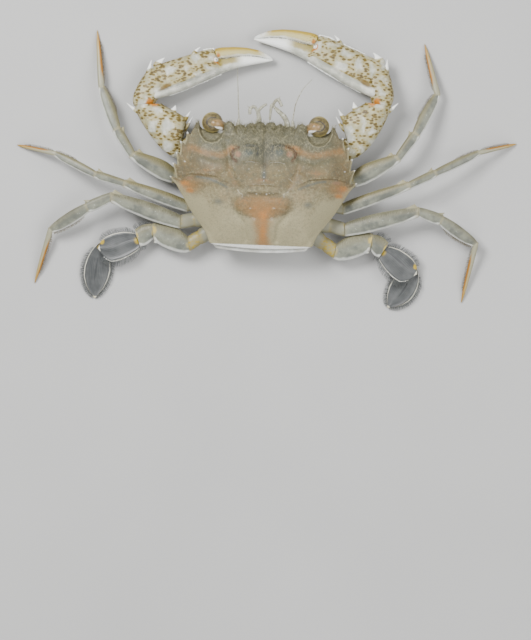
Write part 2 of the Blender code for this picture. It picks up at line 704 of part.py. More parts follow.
def claw(side_name):
    side = SIDES[side_name]
    points = limb_points("claw", side_name)
    base, along, inner = claw_frame(side_name)
    x, y, z = COXAE["claw"][:3]
    coxa = on_body(x * side, y, z)
    way = (points[0] - coxa).normalized()
    coxa_end = coxa + way * (CLAW_COXA_END - x)
    ways, cuts = joint_planes([coxa_end] + points + [base + along])
    article(f"claw_ischium_{side_name}", coxa_end, points[0], cuts[0:2],
            CLAW_ISCHIUM, CLAW_SIDES, "claw")
    merus = article(f"claw_merus_{side_name}", points[0], points[1], cuts[1:3],
                    mirror_rows(CLAW_MERUS, side), CLAW_SIDES, "claw", CLAW_SQUARENESS)
    fuse(merus, limb_spines(points[0], ways[1], MERUS_SPINES, side))
    carpus = article(f"claw_carpus_{side_name}", points[1], points[2], cuts[2:4],
                     mirror_rows(CLAW_CARPUS, side), CLAW_SIDES, "claw", CLAW_SQUARENESS)
    fuse(carpus, limb_spines(points[1], ways[2], CARPUS_SPINES, side))
    palm = loft(f"claw_palm_{side_name}", claw_rings(side_name, PALM_ROWS, cuts[3]), "claw")
    length = CLAW_LENGTH[side_name]
    spines = []
    for place, out, radius in PALM_SPINES:
        tip = base + along * (place * length) + inner * (out * length)
        tip.z += PALM_SPINE_RISE
        root = tip - inner * PALM_SPINE_SUNK - along * PALM_SPINE_RISE
        spines.append(spine(tip, root, radius * length))
    fuse(palm, spines)
    loft(f"claw_dactyl_{side_name}", claw_rings(side_name, FINGER_ROWS, along), "claw")


def limb_spines(start, way, places, side):
    across = Vector((-way.y, way.x, 0.0)).normalized() * side
    made = []
    for (along, out), (root_along, root_out), radius in places:
        tip = start + way * along + across * out + Vector((0.0, 0.0, SPINE_RISE))
        made.append(spine(tip, start + way * root_along + across * root_out, radius))
    return made


def plate(name, outline, finish="belly"):
    """A belly plate: its outline at full size above a bevelled lower edge."""
    middle = sum((Vector(p) for p in outline), Vector((0.0, 0.0))) / len(outline)
    rings = []
    for height, inset in ((0.0, PLATE_BEVEL), (PLATE_EDGE, 0.0), (PLATE_THICKNESS, 0.0)):
        ring = []
        for x, y in outline:
            out = Vector((x, y)) - middle
            place = middle + out * (1 - inset / out.length)
            ring.append(on_body(place.x, place.y, height))
        rings.append(ring)
    return loft(name, rings, finish)


def mirrored(half):
    return list(half) + [(-x, y) for x, y in reversed(half) if x > 0]


def belly_flap():
    half_gap = GAP / 2
    shoulders = [(half, SEAM_TELSON + ahead) for half, ahead in TELSON_SIDE]
    plate("telson", mirrored(
        [(TELSON_HALF, SEAM_TELSON + half_gap)] + shoulders + [(0.0, TELSON_TIP)]))
    arc = []
    for i in range(8):
        turn = math.radians(90 * i / 7)
        across = TELSON_HALF + (SIX_HALF - TELSON_HALF) * math.cos(turn)
        ahead = SEAM_SIX + half_gap + (SEAM_TELSON - SEAM_SIX - GAP) * math.sin(turn) ** 0.9
        arc.append((across, ahead))
    plate("somite_6", mirrored(arc))
    plate("somite_5", mirrored((
        (FOUR_HALF + 0.7, SEAM_FIVE + half_gap), (FIVE_HALF, SEAM_FIVE + 1.6),
        (FIVE_HALF, SEAM_SIX - 1.6), (SIX_HALF + 0.5, SEAM_SIX - half_gap))))
    plate("somite_4", mirrored((
        (FOUR_HALF - 1.4, SEAM_FOUR + half_gap), (FOUR_HALF, SEAM_FOUR + 0.9),
        (FOUR_HALF + 0.4, SEAM_FIVE - half_gap))))
    rear_fold()


def bowed_bar(name, profile, half):
    """A bar across the body, bowed forwards at its ends, from a profile of Y and height."""
    rings = []
    for share in REAR_SHARES:
        bow = REAR_BOW * (share * half / REAR_HALF) ** 2
        ring = [
            on_body(share * half, y + (bow if y < SEAM_FOUR - 0.5 else 0.0), z)
            for y, z in profile]
        rings.append(ring)
    return loft(name, rings, "belly")


def rear_fold():
    """The first three belly somites, which turn up behind the thorax to the carapace."""
    under_top = SLOT_HEIGHT - GAP
    fold = bowed_bar("somites_1_3", (
        (SEAM_FOUR - GAP / 2, 0.0), (SEAM_FOUR - 1.0, 0.2), (-17.1, 1.3), (-17.6, 3.6),
        (-17.8, 6.4), (REAR_OUT, REAR_TOP - 0.9), (REAR_OUT + 0.6, REAR_TOP - 0.2),
        (-17.1, REAR_TOP - 0.9), (-16.6, under_top), (REAR_INNER, under_top - 0.2),
        (REAR_INNER, 3.0), (SEAM_FOUR - GAP / 2, 1.4)), REAR_LOW_HALF)
    lip = bowed_bar("lip", (
        (-17.6, REAR_TOP - 1.6), (REAR_OUT - 0.05, REAR_TOP - 0.7), (REAR_OUT + 0.2, REAR_TOP),
        (REAR_OUT + 0.7, REAR_TOP), (-17.1, REAR_TOP - 0.6), (-17.0, REAR_TOP - 1.3)), REAR_HALF)
    PARTS.objects.unlink(lip)
    return fuse(fold, [lip])


def eye(side_name):
    side = SIDES[side_name]
    centre = on_body(EYE_CENTRE[0] * side, EYE_CENTRE[1], EYE_CENTRE[2])
    bm = bmesh.new()
    bmesh.ops.create_uvsphere(bm, u_segments=14, v_segments=9, radius=EYE_RADIUS * MM)
    cut = bmesh.ops.bisect_plane(
        bm, geom=bm.verts[:] + bm.edges[:] + bm.faces[:],
        plane_co=(-EYE_CUT * side * MM, 0, 0), plane_no=(side, 0, 0), clear_inner=True)
    rim = [item for item in cut["geom_cut"] if isinstance(item, bmesh.types.BMEdge)]
    bmesh.ops.edgenet_fill(bm, edges=rim)
    bmesh.ops.translate(bm, verts=bm.verts[:], vec=centre * MM)
    bmesh.ops.triangulate(bm, faces=bm.faces[:])
    bmesh.ops.recalc_face_normals(bm, faces=bm.faces[:])
    mesh = bpy.data.meshes.new(f"eye_{side_name}")
    bm.to_mesh(mesh)
    bm.free()
    link_mesh(mesh, f"eye_{side_name}", "eye")
    root_x, root_z = STALK_ROOT
    end_x = EYE_CENTRE[0] - EYE_CUT - GAP
    stations = (
        (Vector((root_x, FRONT_WALL + GAP, root_z)), (0, 1), 0.85),
        (Vector((root_x + 0.5, FRONT_WALL + 0.9, root_z)), (0.5, 0.8), 0.95),
        (Vector((end_x - 0.5, EYE_CENTRE[1] - 0.2, root_z + 0.6)), (1, 0.3), 1.15),
        (Vector((end_x, EYE_CENTRE[1], EYE_CENTRE[2])), (1, 0), 1.7),
    )
    rings = []
    for place, heading, radius in stations:
        facing = Vector((heading[0], heading[1], 0.0)).normalized()
        across = Vector((-facing.y, facing.x, 0.0))
        ring = []
        for i in range(STALK_SIDES):
            turn = 2 * math.pi * i / STALK_SIDES
            offset = across * (math.cos(turn) * radius)
            spot = place + offset + Vector((0, 0, math.sin(turn) * radius))
            ring.append(on_body(spot.x * side, spot.y, spot.z))
        rings.append(ring)
    loft(f"eyestalk_{side_name}", rings, "feeler")


def peduncle(name, start, end, radius_start, radius_end):
    """A short stout base with a flat root in the plane of the front wall."""
    along = (end - start).normalized()
    facing = Vector((0, 1, 0))
    rings = []
    for share in (0.0, 0.35, 0.75, 1.0):
        radius = radius_start + (radius_end - radius_start) * share
        turn = facing.lerp(along, min(1.0, share * 2)).normalized()
        centre = start.lerp(end, share)
        if share == 0.0:
            centre.y = FRONT_WALL + GAP + ORIGIN_BEHIND_TEETH
        rings.append(section(centre, along, turn, radius, radius, radius, STALK_SIDES))
    return loft(name, rings, "feeler")


def feelers(side_name):
    side = SIDES[side_name]
    points = [on_body(x * side, y, z) for x, y, z in ANTENNA_PATHS[side_name]]
    start = on_body(ANTENNA_ROOT * side, FRONT_WALL + GAP, FEELER_HEIGHT)
    base = peduncle(f"antenna_{side_name}", start, points[1], *ANTENNA_BASE_RADII)
    fuse(base, [rod(points, FEELER_RADIUS)])
    root, end = [on_body(x * side, y, z) for x, y, z in ANTENNULE_BASES[side_name]]
    base = peduncle(f"antennule_{side_name}", root, end, *ANTENNULE_BASE_RADII)
    rods = []
    for path in ANTENNULE_RODS[side_name]:
        rods.append(rod([on_body(x * side, y, z) for x, y, z in path], FEELER_RADIUS))
    fuse(base, rods)


def maxilliped(side_name):
    """The outer mouthpart, a plate that lies on the slope under the front of the thorax."""
    side = SIDES[side_name]
    rear, front = THORAX_STATIONS[-2], THORAX_STATIONS[-1]
    low = Vector((0.0, rear[0], rear[2]))
    high = Vector((0.0, front[0], front[2]))
    slope = (high - low).normalized()
    down = Vector((0.0, slope.z, -slope.y))
    rings = []
    for depth, shrink in MOUTH_LAYERS:
        ring = []
        for x, along in MOUTH_OUTLINE:
            centred = MOUTH_MIDDLE[0] + (x - MOUTH_MIDDLE[0]) * shrink
            ahead = MOUTH_MIDDLE[1] + (along - MOUTH_MIDDLE[1]) * shrink
            spot = low + slope * ahead + down * depth
            ring.append(on_body(centred * side, spot.y, spot.z))
        rings.append(ring)
    loft(f"maxilliped_{side_name}", rings, "belly")


clear_scene()
PARTS = new_collection("swimming_crab")
carapace()
thorax()
belly_flap()
for side_label in SIDES:
    eye(side_label)
    feelers(side_label)
    maxilliped(side_label)
    claw(side_label)
    for leg in ("leg_1", "leg_2", "leg_3"):
        walking_leg(leg, side_label)
    swimming_leg(side_label)
for shaped in PARTS.objects:
    shaped.data.shade_smooth()
    shaped.data.set_sharp_from_angle(angle=math.radians(SMOOTH_ANGLE))
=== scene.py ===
"""The looks of a swimming crab, an adult female, laid out on its belly with its limbs spread.

Sizes are in millimetres and become metres when a piece is put in its place. Places on the body
are given from the line that joins the last pair of side teeth: X to the crab's right as seen
from above, Y forward and Z up from the floor.
"""

import math

import bmesh
import bpy
import numpy as np
from mathutils import Matrix, Vector


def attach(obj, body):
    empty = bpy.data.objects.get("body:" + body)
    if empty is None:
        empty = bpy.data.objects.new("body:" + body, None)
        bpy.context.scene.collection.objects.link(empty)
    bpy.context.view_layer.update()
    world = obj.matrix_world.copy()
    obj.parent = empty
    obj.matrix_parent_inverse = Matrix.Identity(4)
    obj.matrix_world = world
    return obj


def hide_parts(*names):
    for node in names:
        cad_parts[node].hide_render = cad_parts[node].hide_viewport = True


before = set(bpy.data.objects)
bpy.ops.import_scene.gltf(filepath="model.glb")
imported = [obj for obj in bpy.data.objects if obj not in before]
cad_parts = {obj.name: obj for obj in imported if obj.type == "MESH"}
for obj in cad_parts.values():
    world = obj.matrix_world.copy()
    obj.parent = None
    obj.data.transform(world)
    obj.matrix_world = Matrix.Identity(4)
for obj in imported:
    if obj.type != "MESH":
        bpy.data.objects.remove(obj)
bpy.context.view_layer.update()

MM = 0.001
GAP = 0.3
ORIGIN_BEHIND_TEETH = 5.0
SIDES = {"left": -1, "right": 1}
RANDOM = np.random.default_rng(7)

# Limbs: the root's distance from the middle line, its place along Y and its height, then for
# each article its length from above, its heading from straight outwards towards the front, and
# the height of its far end
LIMB_POSES = {
    ("claw", "left"): ((21.66, 7.29, 4.9), (13.04, 55.2, 4.9), (6.26, 116.3, 4.1)),
    ("claw", "right"): ((21.81, 9.03, 4.9), (12.53, 63.7, 4.9), (6.37, 103.6, 4.1)),
    ("leg_1", "left"): (
        (22.56, 0.3, 4.7), (11.63, 25.1, 6.3), (7.39, 56.5, 5.8), (11.36, 68, 3),
        (13.98, 83.7, 0.25)),
    ("leg_1", "right"): (
        (22.58, 1.06, 4.7), (12.32, 28.6, 6.3), (7.48, 55.3, 5.8), (11.36, 64.5, 3),
        (12.81, 106.4, 0.25)),
    ("leg_2", "left"): (
        (18.83, -7.11, 4.9), (16.72, 17.4, 7.4), (7.59, 14.9, 7), (11.37, 25.1, 4),
        (9.57, 10.7, 0.25)),
    ("leg_2", "right"): (
        (20.27, -6.27, 4.9), (17.55, 21.9, 7.4), (7.11, 27.2, 7), (12.2, 27.4, 4),
        (9.42, 15.5, 0.25)),
    ("leg_3", "left"): (
        (20.34, -11.18, 4.9), (18.47, 17.1, 6.4), (6.46, -26.3, 6), (10.8, -34.2, 3.2),
        (13.57, -75.6, 0.25)),
    ("leg_3", "right"): (
        (20.83, -11.47, 4.9), (18.99, 15.7, 6.4), (6.03, -18.1, 6), (10.5, -33.4, 3.2),
        (14.78, -101.6, 0.25)),
    ("swimming_leg", "left"): (
        (18.05, -16.59, 4.2), (9.42, 16.9, 3.9), (4.24, -30.1, 3.4), (9.13, -10.8, 2.4),
        (13.17, -84.7, 0.5)),
    ("swimming_leg", "right"): (
        (18.57, -16.97, 4.2), (9.41, 16.4, 3.9), (3.7, -36.1, 3.4), (9.09, -27.7, 2.4),
        (11.45, -123.2, 0.5)),
}
ARTICLES = ("merus", "carpus", "propodus", "dactyl")
COXAE = {
    "claw": (10, 6.2, 4.4, 2.9),
    "leg_1": (12, 0.6, 4.4, 2.35),
    "leg_2": (12, -4.6, 4.4, 2.3),
    "leg_3": (12, -9.4, 4.4, 2.3),
    "swimming_leg": (12, -12.6, 4.5, 2.1),
}
CLAW_COXA_END = 15.2
WALKING_SHAPES = {
    "leg_1": {
        "merus": ((1.9, 2.35, 2.3, 2, 1.6, 1.2), 0.56),
        "carpus": ((1.05, 1.15, 1.2, 1.3, 1.25), 0.62),
        "propodus": ((1.15, 1.4, 1.45, 1.4, 1.2, 0.85), 0.56),
        "dactyl": ((0.8, 0.8, 0.72, 0.6, 0.45, 0.2), 0.85),
    },
    "leg_2": {
        "merus": ((1.45, 1.62, 1.62, 1.5, 1.3, 1.05), 0.62),
        "carpus": ((0.95, 1, 1.05, 1.1, 1), 0.66),
        "propodus": ((0.9, 1.05, 1.08, 1.05, 0.95, 0.7), 0.62),
        "dactyl": ((0.65, 0.62, 0.55, 0.5, 0.4, 0.2), 0.95),
    },
    "leg_3": {
        "merus": ((1.7, 2, 2.15, 2, 1.7, 1.3), 0.58),
        "carpus": ((1.2, 1.35, 1.45, 1.5, 1.35), 0.58),
        "propodus": ((1.25, 1.5, 1.6, 1.5, 1.3, 0.85), 0.52),
        "dactyl": ((0.72, 0.7, 0.64, 0.55, 0.42, 0.2), 0.85),
    },
}
# The swimming leg: place along the article, half widths to the front and the rear
SWIMMING_SHAPES = {
    "merus": (((0, 1.9, 1.9), (0.15, 2.5, 2.5), (0.4, 2.9, 2.9), (0.7, 2.8, 2.8),
               (0.9, 2.4, 2.4), (1, 2, 2.1)), 1.25),
    "carpus": (((0, 1.9, 1.7), (0.3, 2.4, 2), (0.7, 2.8, 2.2), (1, 2.5, 1.9)), 1),
    "propodus": (((0, 1.5, 2.1), (0.12, 2, 2.8), (0.35, 2.45, 3.8), (0.6, 2.4, 4.5),
                  (0.82, 2, 4.6), (0.95, 1.4, 3.7), (1.04, 0.7, 2.3), (1.09, -0.4, 1)), 0.5),
    "dactyl": (((-0.04, 0.6, 0.5), (0.04, 1.6, 1.3), (0.14, 2.5, 2), (0.28, 3.2, 2.6),
                (0.45, 3.6, 2.95), (0.62, 3.5, 2.7), (0.78, 2.7, 2), (0.9, 1.6, 1.1),
                (0.97, 0.75, 0.5), (1, 0.3, 0.2)), 0.42),
}
PADDLE_ROOT_HEIGHT = 1.15
RIM_TEETH = 15
CLAW_ISCHIUM = ((0, 2.6, 2.6, 2.1), (0.35, 2.9, 2.9, 2.2), (0.7, 2.9, 2.9, 2.2),
                (1, 2.6, 2.6, 2.1))
CLAW_MERUS = ((0, 2.6, 2.6, 2.1), (0.15, 4.7, 3.3, 2.6), (0.3, 5.6, 3.9, 2.9),
              (0.45, 5.5, 4.2, 3), (0.7, 4.4, 4.3, 3.1), (0.9, 3.1, 3.9, 2.9),
              (1, 2.5, 3.4, 2.6))
CLAW_CARPUS = ((0, 1.2, 3.8, 2.4), (0.2, 1.1, 4.7, 2.7), (0.5, 1.6, 5, 2.8),
               (0.8, 2.1, 4.7, 2.6), (1, 2.2, 4.1, 2.3))
CLAW_LENGTH = {"left": 28.27, "right": 30.99}
CLAW_HEADING = {"left": 166.75, "right": 163.7}
CLAW_HEIGHT = (3.9, 2.3)
WRIST_SHARE = 0.3
# Shares of the claw's length: place, outer edge, inner edge and half thickness
PALM_ROWS = (
    (0, -0.138, 0.146, 0.08), (0.09, -0.128, 0.164, 0.094), (0.2, -0.108, 0.18, 0.1),
    (0.33, -0.08, 0.197, 0.1), (0.44, -0.055, 0.209, 0.094), (0.505, -0.038, 0.2, 0.082),
    (0.53, -0.032, 0.1, 0.058), (0.62, -0.014, 0.094, 0.05), (0.74, -0.005, 0.089, 0.043),
    (0.86, -0.005, 0.06, 0.034), (0.95, -0.006, 0.022, 0.022), (1, -0.002, 0.006, 0.01),
)
FINGER_ROWS = (
    (0.508, 0.105, 0.196, 0.056), (0.535, 0.1, 0.201, 0.062), (0.58, 0.099, 0.2, 0.06),
    (0.7, 0.095, 0.18, 0.051), (0.8, 0.084, 0.153, 0.042), (0.9, 0.05, 0.11, 0.032),
    (0.97, 0.014, 0.052, 0.02), (1, -0.002, 0.022, 0.01),
)
# Spines: the tip's and the root's places along the article and out from its line, and the
# radius at the root, for the palm as shares of the claw's length
MERUS_SPINES = (((11.8, 5.2), (9, 2.4), 1.25), ((6.6, 7.7), (4.5, 4.2), 1.2),
                ((3, 7.4), (1.9, 4), 0.9), ((13.6, -4.8), (11.2, -2.8), 0.8))
CARPUS_SPINES = (((7.6, -4.9), (4.9, -3), 0.95),)
PALM_SPINES = (((0.122, 0.205), (0.05, 0.125), 0.036), ((0.394, 0.238), (0.325, 0.165), 0.025))


def on_body(x, y, z):
    """A place given from the line of the last teeth, in the part's own frame."""
    return Vector((x, y + ORIGIN_BEHIND_TEETH, z))


def smooth_step(value, low, high):
    share = np.clip((value - low) / (high - low), 0.0, 1.0)
    return share * share * (3 - 2 * share)


def bell(value, width):
    """1 where a value is 0, falling away softly over a width."""
    return np.exp(-(value / width) ** 2)


def spot(x, y, row):
    """A soft round mark: middle, half sizes and strength."""
    x0, y0, wide, long, strength = row
    return strength * np.exp(-((x - x0) / wide) ** 2 - ((y - y0) / long) ** 2)


def between(rows, place):
    """Values at a place, read from rows that start with their own place."""
    places = [row[0] for row in rows]
    return [np.interp(place, places, column) for column in list(zip(*rows))[1:]]


def unit(rows):
    return rows / np.linalg.norm(rows, axis=1)[:, None]


def run_along(line):
    """How far along a line of points each point is."""
    return np.concatenate(([0.0], np.cumsum(np.linalg.norm(np.diff(line, axis=0), axis=1))))


def read_line(at, steps, line):
    """Places on a line of points at the given distances along it."""
    return np.stack([np.interp(at, steps, column) for column in line.T], 1)


def spline(points, steps):
    """Points on one smooth curve through a row of points, with steps to each length."""
    points = [Vector(p) for p in points]
    ends = [points[0] * 2 - points[1]] + points + [points[-1] * 2 - points[-2]]
    made = []
    for a, b, c, d in zip(ends, ends[1:], ends[2:], ends[3:]):
        for i in range(steps):
            t = i / steps
            made.append((b * 2 + (c - a) * t + (a * 2 - b * 5 + c * 4 - d) * t ** 2
                         + (b * 3 - a - c * 3 + d) * t ** 3) / 2)
    return made + [points[-1]]


# Finishes: node materials written as sums and products


class Value:
    """One output of a material's nodes. Sums and products of values add their Math nodes."""

    def __init__(self, finish, socket):
        self.finish = finish
        self.socket = socket

    def work(self, operation, *values):
        settings = {"operation": operation}
        return self.finish.node("ShaderNodeMath", settings, dict(enumerate(values)))

    def __add__(self, other):
        return self.work("ADD", self, other)

    def __sub__(self, other):
        return self.work("SUBTRACT", self, other)

    def __mul__(self, other):
        return self.work("MULTIPLY", self, other)

    def __rsub__(self, other):
        return self.work("SUBTRACT", other, self)

    __radd__, __rmul__ = __add__, __mul__

    def rise(self, low, high):
        """0 below low, 1 above high and smooth between them; high may be below low."""
        settings = {"interpolation_type": "SMOOTHSTEP", "clamp": True}
        falls = low > high
        values = (self, min(low, high), max(low, high), float(falls), float(not falls))
        return self.finish.node("ShaderNodeMapRange", settings, dict(enumerate(values)))

    def most(self, other):
        return self.work("MAXIMUM", self, other)

    def wave(self):
        return self.work("SINE", self)


class Finish:
    """A node material for one kind of surface of the crab."""

    def __init__(self, name, roughness, coat=0.0, soft=0.0):
        self.material = bpy.data.materials.new(name)
        self.material.use_nodes = True
        self.tree = self.material.node_tree
        self.shader = self.tree.nodes["Principled BSDF"]
        for key, value in (
                ("Roughness", roughness), ("Coat Weight", coat), ("Coat Roughness", 0.25),
                ("Subsurface Weight", soft), ("Subsurface Radius", (1.0, 0.8, 0.6)),
                ("Subsurface Scale", 0.8 * MM)):
            self.shader.inputs[key].default_value = value
        self.place = self.node("ShaderNodeTexCoord", {}, {}, "Object")

    def node(self, kind, settings, values, output=0):
        """Add a node, make its settings first, fill or link its sockets, and give an output."""
        made = self.tree.nodes.new(kind)
        for key, setting in settings.items():
            setattr(made, key, setting)
        for key, value in values.items():
            if isinstance(value, Value):
                self.tree.links.new(value.socket, made.inputs[key])
            else:
                made.inputs[key].default_value = value
        return Value(self, made.outputs[output])

    def painted(self, name):
        """A number painted on the piece."""
        return self.node("ShaderNodeAttribute", {"attribute_name": name}, {}, "Fac")

    def worn(self, name, stray, low, high):
        """How far a painted number, made uneven by another value, has risen."""
        return (self.painted(name) + stray).rise(low, high)

    def scaled(self, x, y, z, turn=0.0):
        """Object coordinates in millimetres, stretched and turned about the upright."""
        values = {"Vector": self.place, "Rotation": (0.0, 0.0, turn),
                  "Scale": (x / MM, y / MM, z / MM)}
        return self.node("ShaderNodeMapping", {"vector_type": "POINT"}, values)

    def noise(self, scale, detail=3.0, rough=0.55, output="Fac"):
        values = {"Vector": self.scaled(1, 1, 1), "Scale": scale, "Detail": detail,
                  "Roughness": rough}
        return self.node("ShaderNodeTexNoise", {}, values, output)

    def cells(self, scale, where=None, feature="F1"):
        values = {"Vector": where or self.scaled(1, 1, 1), "Scale": scale}
        return self.node("ShaderNodeTexVoronoi", {"feature": feature}, values, "Distance")

    def mix(self, share, first, second):
        """One colour turned into another by a share."""
        values = {"Factor": share, 6: first, 7: second}
        return self.node("ShaderNodeMix", {"data_type": "RGBA"}, values, 2)

    def layers(self, colour, *coats):
        """A colour with others laid over it in turn, each by its own share."""
        for share, coat in coats:
            colour = self.mix(share, colour, coat)
        return colour

    def dress(self, colour, bump=None, depth=0.0, roughness=None):
        """Link the finished colour, bump and roughness to the shader."""
        links = {"Base Color": colour, "Roughness": roughness}
        if bump is not None:
            values = {"Strength": 1.0, "Distance": depth * MM, "Height": bump}
            links["Normal"] = self.node("ShaderNodeBump", {}, values)
        for key, value in links.items():
            if value is not None:
                self.tree.links.new(value.socket, self.shader.inputs[key])
        return self.material


# How light and how rich a surface's own colour is for the colour that the studio light makes
SURFACE_GAIN = 1.22
SURFACE_POWER = 1.95
SURFACE_DEPTH = 1.45
LIGHT_SHARES = (0.2126, 0.7152, 0.0722)


def paint(red, green, blue):
    """A colour given as it looks in the picture, from 0 to 255, as the surface's own colour."""
    linear = []
    for part in (red, green, blue):
        part /= 255
        linear.append(part / 12.92 if part <= 0.04045 else ((part + 0.055) / 1.055) ** 2.4)
    light = sum(part * share for part, share in zip(linear, LIGHT_SHARES))
    deep = SURFACE_GAIN * light ** SURFACE_POWER
    made = [deep * (1 + SURFACE_DEPTH * (part / light - 1)) for part in linear]
    return (*[min(max(part, 0.002), 0.92) for part in made], 1.0)


OLIVE = paint(138, 135, 114)
TAN = paint(146, 133, 107)
PALE_TAN = paint(162, 150, 120)
CREAM = paint(190, 184, 158)
ORANGE = paint(188, 150, 112)
DEEP_ORANGE = paint(214, 156, 110)
BLUISH = paint(122, 132, 129)
SLATE = paint(98, 102, 96)
DARK_BROWN = paint(132, 94, 46)
WHITE = paint(234, 235, 232)
PORCELAIN = paint(212, 211, 204)
GREY_WHITE = paint(162, 165, 160)
STRAW = paint(200, 188, 142)
AMBER = paint(214, 152, 66)
SPOT_BROWN = paint(156, 134, 62)
SPOT_DARK = paint(126, 100, 44)
PINK = paint(184, 148, 126)


def shell_finish():
    """The carapace: olive tan with orange marks, pale spots and a fine grained skin."""
    f = Finish("shell", 0.6, 0.04, 0.05)
    grain = f.noise(1.6, 5.0, 0.65)
    patches = f.noise(0.24, 5.0, 0.65)
    fine = f.noise(3.4, 4.0, 0.7)
    speck = f.cells(2.2)
    front = f.painted("front")
    wander = (grain - 0.5) * 0.9
    orange = f.painted("orange") * (0.55 + patches * 0.9) + wander * 1.3
    threads = f.cells(0.8, f.scaled(1.5, 0.8, 1.0), "DISTANCE_TO_EDGE")
    net = threads.rise(0.07, 0.0) * front.rise(0.6, 1.0) * grain.rise(0.35, 0.6)
    colour = f.layers(
        TAN, ((patches + wander * 0.5).rise(0.3, 0.7), PALE_TAN),
        (f.noise(0.5, 4.0, 0.7).rise(0.5, 0.72) * 0.6, OLIVE),
        (f.noise(0.33, 4.0, 0.7).rise(0.5, 0.7) * 0.45, paint(172, 147, 121)),
        ((front + wander).rise(0.15, 0.9), OLIVE),
        (f.noise(0.85, 5.0, 0.75).rise(0.5, 0.64) * 0.5, paint(134, 137, 120)),
        (f.noise(1.05, 5.0, 0.75).rise(0.53, 0.66) * 0.45, CREAM),
        (f.worn("pale", wander, 0.2, 0.95) * 0.9, CREAM), (orange.rise(0.1, 1.4) * 0.85, ORANGE),
        (f.worn("deep", wander * 0.8, 0.2, 1.2) * 0.85, DEEP_ORANGE),
        (f.worn("slate", wander * 0.6, 0.15, 1.2) * 0.9, SLATE),
        (f.worn("bluish", wander * 0.7, 0.2, 1.15) * 0.9, BLUISH),
        # pink: pink spots, and on the right flank a painted light patch against the lamps' shade
        (f.worn("pink", wander * 0.5, 0.25, 1.1), PINK),
        (f.worn("dark", wander * 0.3, 0.15, 1.1), DARK_BROWN),
        (f.worn("white", wander * 0.6, 0.3, 1.1) * 0.85, WHITE),
        (fine.rise(0.5, 0.72) * 0.45, OLIVE), (fine.rise(0.46, 0.3) * 0.35, CREAM),
        (speck.rise(0.2, 0.05) * grain.rise(0.48, 0.6) * 0.6, CREAM), (net * 0.5, CREAM))
    bump = grain * 0.6 + speck.rise(0.45, 0.0) * 0.6 + fine * 0.4
    return f.dress(colour, bump, 0.08, 0.56 + grain * 0.2)


def claw_finish():
    """Claws: chalk white with olive brown dashes in arcs on a straw haze, pale lower faces."""
    f = Finish("claw_shell", 0.46, 0.08, 0.05)
    spotted = f.painted("spotted")
    warped = f.node("ShaderNodeVectorMath", {"operation": "MULTIPLY_ADD"}, {
        0: f.noise(0.35, 2.0, 0.5, "Color"), 1: (2.2, 2.2, 2.2), 2: f.scaled(1, 1, 0.6)})
    wide = f.cells(0.25, warped, "DISTANCE_TO_EDGE")
    grain = f.noise(1.3, 4.0)
    wander = grain - 0.5
    ring = wide.rise(0.24, 0.09)
    outside = f.cells(1.08, f.scaled(0.78, 1.4, 0.8, 0.9)) - (ring * 0.5 + wander * 0.4 - 0.05)
    halo = outside.rise(0.24, 0.03) * ring.rise(0.1, 0.6) * spotted.rise(0.2, 0.6)
    haze = (wide + wander * 0.24).rise(0.32, 0.12) * spotted.rise(0.0, 0.6)
    white = f.mix(f.noise(0.5, 4.0).rise(0.35, 0.7), paint(198, 200, 192), paint(220, 220, 213))
    straw = f.mix(f.noise(0.8).rise(0.4, 0.65), paint(176, 163, 104), paint(194, 184, 136))
    colour = f.layers(
        white, (haze * 0.55 + 0.08, straw), (halo * 0.5, paint(186, 166, 96)),
        (outside.rise(0.06, -0.08) * spotted.rise(0.25, 0.6) * 0.9,
         f.mix(f.noise(2.2).rise(0.4, 0.62), SPOT_BROWN, SPOT_DARK)),
        (f.worn("edge", wander * 0.8, 0.3, 1.0) * 0.8, paint(184, 168, 108)),
        (f.worn("smear", wander * 0.7, 0.25, 0.9) * 0.85, paint(160, 132, 62)),
        (f.painted("knob").rise(0.15, 0.6), AMBER), (f.painted("tip").rise(0.3, 0.75), WHITE),
        (f.painted("below").rise(0.35, 0.75), PORCELAIN))
    scales = f.cells(1.7, f.scaled(1.0, 2.2, 1.0, 0.3))
    bump = scales.rise(0.6, 0.1) * 0.6 + f.noise(3.0, 4.0) * 0.5
    return f.dress(colour, bump, 0.07, 0.42 + grain * 0.22)


def finger_finish():
    """The movable finger: straw yellow with a white tip and fine long grooves."""
    f = Finish("finger_shell", 0.42, 0.12, 0.05)
    place = f.painted("place")
    across = f.painted("across")
    grain = f.noise(0.9, 4.0, 0.6)
    wander = (grain - 0.5) * 0.6
    spots = f.cells(1.3, f.scaled(1.0, 1.3, 0.8)).rise(0.34, 0.18)
    lines = (across * 26.0 + grain * 5.0).wave()
    colour = f.layers(
        paint(212, 203, 162), ((across + wander).rise(-0.2, 0.8), paint(206, 180, 106)),
        ((across + wander).rise(-0.35, -0.85) * 0.8, WHITE),
        ((place + wander * 0.4).rise(0.74, 0.95), WHITE),
        (spots * place.rise(0.24, 0.02), SPOT_BROWN), (f.painted("knob").rise(0.2, 0.9), AMBER),
        (lines.rise(0.5, 1.0) * 0.3, GREY_WHITE))
    return f.dress(colour, lines * 0.4 + grain, 0.05, 0.38 + grain * 0.14)


